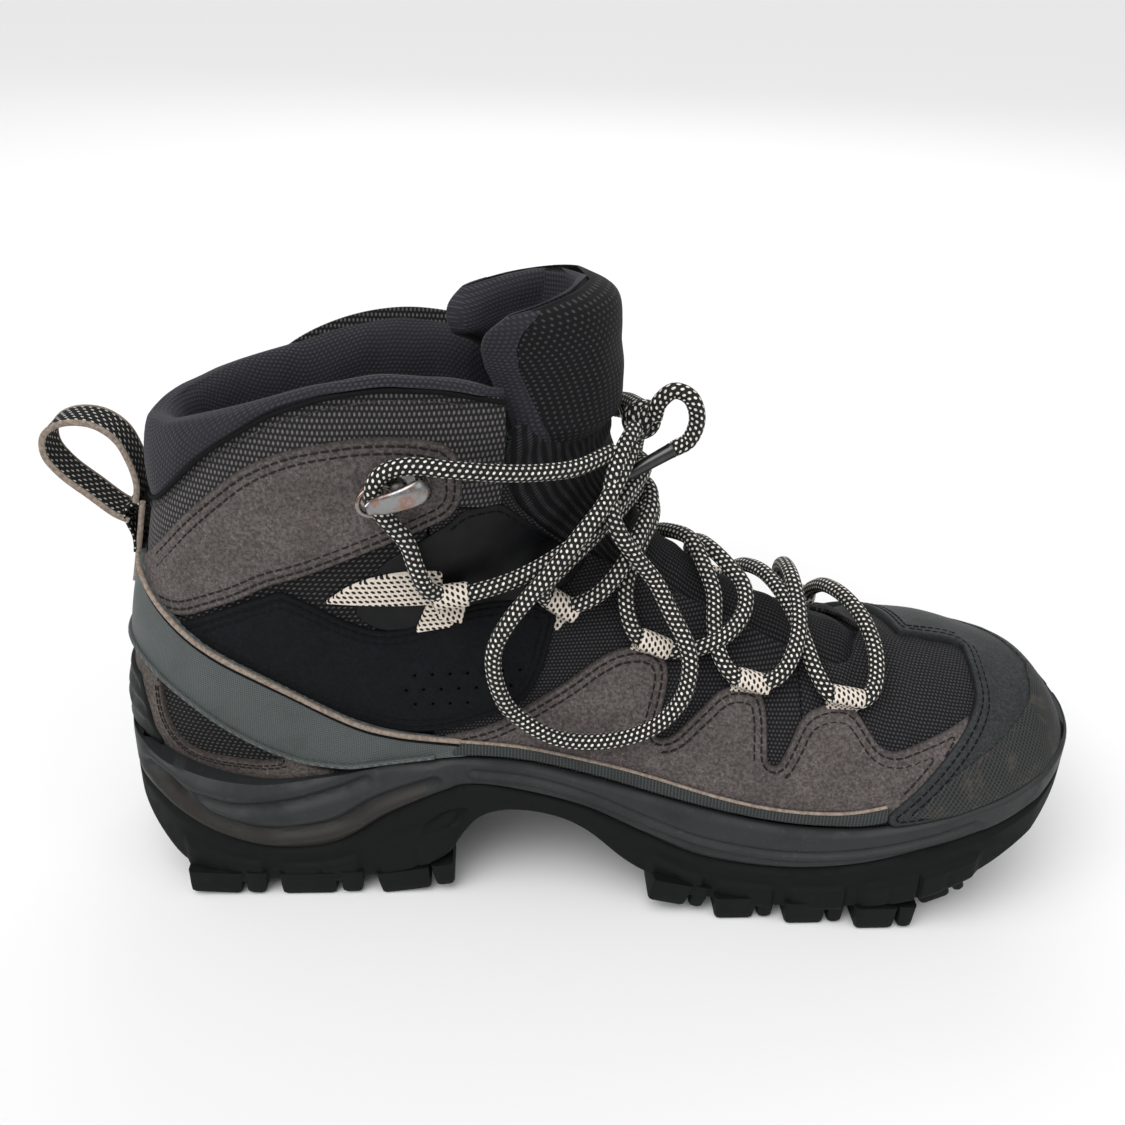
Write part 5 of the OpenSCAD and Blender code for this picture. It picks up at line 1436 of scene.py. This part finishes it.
def tongue_piece(name, node, start, stop, material, slot, close_at, seed, grow):
    """One face of the tongue's section, from start to stop degrees round it, closed behind at a
    share of its thickness."""
    levels = np.concatenate([np.linspace(0, 8.2, 46),
                             8.2 + .8 * np.sin(np.linspace(.12, 1, 12) * np.pi / 2)])
    around = np.linspace(start, stop, FACE)
    rows, uvs = [], []
    for level in levels:
        row = smooth(TONGUE, level)
        low = np.clip((row[0] - 143) / 12, .3, 1)
        top = math.sqrt(max(.02, 1 - max(0, (level - 7.2) / 1.8) ** 2.2))
        thick = TONGUE_T * low * (.25 + .75 * top) + grow
        face, along = tongue_ring(row, thick, around)
        shut, shut_along = tongue_ring(row, thick * close_at, around[::-4])
        rows.append(np.concatenate([face, shut]))
        uvs.append(np.stack([np.concatenate([along, shut_along]),
                             np.full(len(rows[-1]), row[0])], -1))
    ring = np.array(rows)
    face = ring[:, :FACE]
    away = unit((face - [TONGUE_FRONT - TONGUE_R, 0, 0]) * [1, 1, 0])
    push = (wobble(face, 30, seed) * .7 + wobble(face, 11, seed + 1) * .22)[..., None]
    ring[:, :FACE] = face + away * push * np.clip((face[..., 2:] - 156) / 12, 0, 1)
    piece = closed_form(name, ring, material, slot, body=None, smooth_angle=80,
                        uv=np.array(uvs).reshape(-1, 2))
    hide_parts(node)
    tuple(metres([147, 0, 153]))
    tuple(metres([147, 0, 169]))
    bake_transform(piece)


tongue_piece("tongue_top_mesh", "tongue_top", 47, 133, TONGUE_KNIT, "tongue_mesh", .25, 85, -.3)
tongue_piece("tongue_lining_roll", "tongue_top_lining", 127, 413, LINING, "lining_fabric", .35,
             85, .6)

# ---- webbing loops that hold the lace ----
# x, medial and lateral y, z, slope of the lace in degrees
LOOPS = [[217, -38.5, 26, 75, 12], [188, -36.5, 30.5, 79.5, 18], [158, -31, 31.5, 89.5, 25],
         [130, -30, 32.5, 102.5, 35]]


WRAP_R = 3.15


def sleeve(name, node, side, centre, slope, feet, outer, inner):
    """Webbing that wraps the lace at centre and runs down between the layers of the upper, in two
    legs. feet are their lower and upper end in the side's plane, outer and inner the two legs'
    heights over the last there."""
    centre = np.array(centre, float)
    a = math.radians(slope)
    axis = np.array([math.cos(a), 0, -math.sin(a)])
    low, low_normal = surface(side, feet)
    down = unit(low[0] - centre - ((low[0] - centre) @ axis) * axis)
    normal = unit(np.cross(axis, down))
    normal = normal if normal @ low_normal[0] > 0 else -normal
    angle = np.radians(np.linspace(66, 294, 18))[:, None]
    circle = centre + WRAP_R * (down * np.cos(angle) + normal * np.sin(angle))
    outer_leg, inner_leg = [low + low_normal * np.array(h)[:, None] for h in (outer, inner)]
    line = np.concatenate([outer_leg, circle, inner_leg[::-1]])
    line = resample(smooth(line, np.linspace(0, len(line) - 1, 120)), .7)
    piece = strip(name, line, oval(.9, 10, 18, .45), WEB, "pale_webbing",
                  side=np.cross(axis, np.gradient(line, axis=0)))
    if node:
        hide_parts(node)


for side, sign in SIDES:
    for i, (x, y_med, y_lat, z, slope) in enumerate(LOOPS):
        a = math.radians(slope)
        reach = np.array([[9.0], [4.6]])
        sleeve("lace_loop_%s_%d" % (side, i + 1), "lace_loops_" + side if i == 0 else None, side,
               [x, y_med if sign < 0 else y_lat, z], slope,
               np.array([x, z]) - reach * [math.sin(a), math.cos(a)], (-.5, .7), (-.9, 0))
    # the ankle loop: an eye and two legs sewn on the quarter
    sleeve("ankle_loop_%s_eye" % side, "ankle_loop_" + side, side,
           [98, -39.5 if sign < 0 else 41.8, 111], -8, np.array([[95.5, 101.0], [96.6, 106.0]]),
           (2.2, 2.8), (1.4, 1.5))
    for leg, outline, base, seed in (
            ("rear", [[62, 108], [70, 114], [82, 117.5], [95, 116.5], [95, 106], [82, 106.5]],
             1.35, 91),
            ("lower", [[91, 107], [101.5, 107], [97.5, 98], [87, 97]], 1.4, 92)):
        panel("ankle_loop_%s_%s_leg" % (side, leg), None, side, outline, WEB, "pale_webbing",
              base=base, thick=.9, corner=.8, grid=2, seed=seed, wave=.05, edge=.4, under=.8)

# ---- hooks ----
HOOK_X, HOOK_Z, HOOK_TILT = 84, 144, math.radians(20)


def hook_y(sign):
    """The y of the hook's plate: the ankle is 1 mm wider on the lateral side."""
    return .5 + sign * 39.5


def hook(side, sign):
    """A domed plate, an arm that curls up and out over the lace, a wire ring and a rivet."""
    middle = np.array([HOOK_X, hook_y(sign), HOOK_Z])
    forward = np.array([math.cos(HOOK_TILT), 0, math.sin(HOOK_TILT)])
    out, up = np.array([0, sign, 0]), np.array([-math.sin(HOOK_TILT), 0, math.cos(HOOK_TILT)])

    def placed(t, o, u=0.0):
        return middle + forward * t + out * o + up * u

    turn = np.linspace(0, 2 * np.pi, 40, endpoint=False)
    rings = [[placed(10 * scale * squared(math.cos(a), .85) - 1, height,
                     5.2 * scale * squared(math.sin(a), .85)) for a in turn]
             for height, scale in ((0, 1), (.9, 1), (1.25, .96), (1.4, .88), (1.0, .74), (.95, .1))]
    piece = closed_form("hook_%s_plate" % side, rings, CHROME, "hook_metal", smooth_angle=35)
    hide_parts("hook_" + side)
    arm = np.array([placed(t, o) for t, o in (
        (6.4, .8), (7.8, 2.2), (8.3, 4.4), (7.0, 6.9), (3.8, 8.2), (0, 8.4), (-3.6, 7.9),
        (-6.6, 7.2), (-8.4, 7.8))])
    arm = resample(smooth(arm, np.linspace(0, 8, 80)), .5)
    along = np.linspace(0, 1, len(arm))
    size = np.stack([np.interp(along, [0, .35, .8, 1], [2.0, 2.6, 2.2, 1.6]),
                     np.interp(along, [0, .35, .8, .93, 1], [6.4, 6.8, 5.6, 4.4, 3.0])], -1)
    strip("hook_%s_arm" % side, arm, oval(1, 1, 22, .8), CHROME, "hook_metal",
          side=np.cross(np.gradient(arm, axis=0), up), size=size)
    ring = [placed(-6.2 + 4.8 * math.cos(a), 3.4 - 1.6 * math.cos(a), 3.9 * math.sin(a))
            for a in np.linspace(0, 2 * np.pi, 25)]
    lace_tube("hook_%s_ring" % side, np.array(ring), 1.6, CHROME, "hook_metal")
    revolve("hook_%s_rivet" % side, placed(0, .9), placed(0, 3.0),
            [(0, 3.0), (.3, 3.0), (.55, 2.7), (.8, 1.9), (1, .6)], DULL, "hook_metal")


for side, sign in SIDES:
    hook(side, sign)
for side, sign in SIDES:
    inner = hook_y(sign) - sign * 7.2
    piece = revolve("hook_%s_rivet_back" % side, (HOOK_X, inner - sign * .2, HOOK_Z),
                    (HOOK_X, inner + sign * .9, HOOK_Z),
                    [(0, 2.2), (.25, 3.2), (.6, 3.5), (1, 3.5)], DULL, "hook_metal")
    if sign < 0:
        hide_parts("hook_rivets")

# ---- pull loop ----
PULL = [[0.5, 118], [-4, 120.5], [-10, 126], [-17, 132.5], [-21, 139], [-20, 145.5], [-14, 149],
        [-6, 148.5], [0, 144], [3, 137], [4.2, 130], [3.2, 124]]
ACROSS = np.array([0.0, 1, 0])


def bound_webbing(name, node, line, edge_line, thick, body="root"):
    """The heel's webbing, with a tan edge along each side."""
    piece = strip(name + "_webbing", line, oval(13, thick, 20, .4), BLACK_WEB, "black_webbing",
                  body, ACROSS)
    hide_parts(node)
    for edge, sign in (("near", -1), ("far", 1)):
        strip("%s_edge_%s" % (name, edge), edge_line + ACROSS * sign * 6.2,
              oval(1.0, thick + .4, 10, .8), TAN, "black_webbing", body, ACROSS)


route = smooth([[x, 0, z] for x, z in PULL], np.linspace(0, len(PULL) - 1, 90))
bound_webbing("pull_loop", "pull_loop", route, route, 1.5, "pull_tab")
# the loop's sewn foot: heights, and how far each is off the last
FOOT = np.array([[123.2, 3.4], [122.2, 5.6], [120.4, 7.2], [118, 7.5], [115.4, 6.2], [112.5, 4.6],
                 [109.5, 3.8], [107, 3.6]])
foot = raised("heel", np.stack([np.zeros(len(FOOT)), FOOT[:, 0]], -1), FOOT[:, 1:])
strip("pull_loop_tab", smooth(foot, np.linspace(0, len(FOOT) - 1, 40)), oval(13.4, 1.3, 20, .4),
      BLACK_WEB, "black_webbing", side=ACROSS)
heel_line = np.stack([np.zeros(30), np.linspace(124, 97, 30)], -1)
bound_webbing("pull_loop_base", "pull_loop_base", raised("heel", heel_line, 2.7),
              raised("heel", heel_line, 2.6), 1.4)

# ---- parts inside, whose CAD shapes stay ----
for node, material in (("insole_board", BOARD), ("arch_chassis", CHASSIS),
                       ("gusset_medial", GUSSET), ("gusset_lateral", GUSSET)):
    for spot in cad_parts[node].material_slots:
        spot.link = "OBJECT"
        spot.material = material


# ---- light and floor ----
def studio():
    s = 8.0                                # half the floor's size
    mesh = bpy.data.meshes.new("floor")
    mesh.from_pydata([(-s, -s, 0), (s, -s, 0), (s, s, 0), (-s, s, 0)], [], [(0, 1, 2, 3)])
    mesh.materials.append(Shader("floor_paper", Roughness=.95, Base_Color=(.82, .82, .82, 1),
                                 Specular_IOR_Level=.1).material)
    floor = bpy.data.objects.new("floor", mesh)
    bpy.context.collection.objects.link(floor)
    world = bpy.data.worlds.new("studio")
    world.use_nodes = True
    world.node_tree.nodes["Background"].inputs[0].default_value = (1, 1, 1, 1)
    world.node_tree.nodes["Background"].inputs[1].default_value = .5
    bpy.context.scene.world = world
    sun = bpy.data.lights.new("sky", "SUN")
    sun.energy, sun.angle = 1.8, math.radians(60)
    holder = bpy.data.objects.new("sky", sun)
    holder.rotation_euler = (math.radians(25), math.radians(-20), 0)
    bpy.context.collection.objects.link(holder)
    area_light("key", (-.9, -1.1, 1.5), (0, 0, .05), (1.2, 1.2), 10)
    area_light("fill", (1.2, -.9, .9), (0, 0, .05), (1.2, 1.0), 3)
    area_light("back", (.2, 1.4, 1.2), (0, 0, .08), (1.4, .8), 6)


studio()
bpy.context.scene.view_settings.view_transform = "Standard"
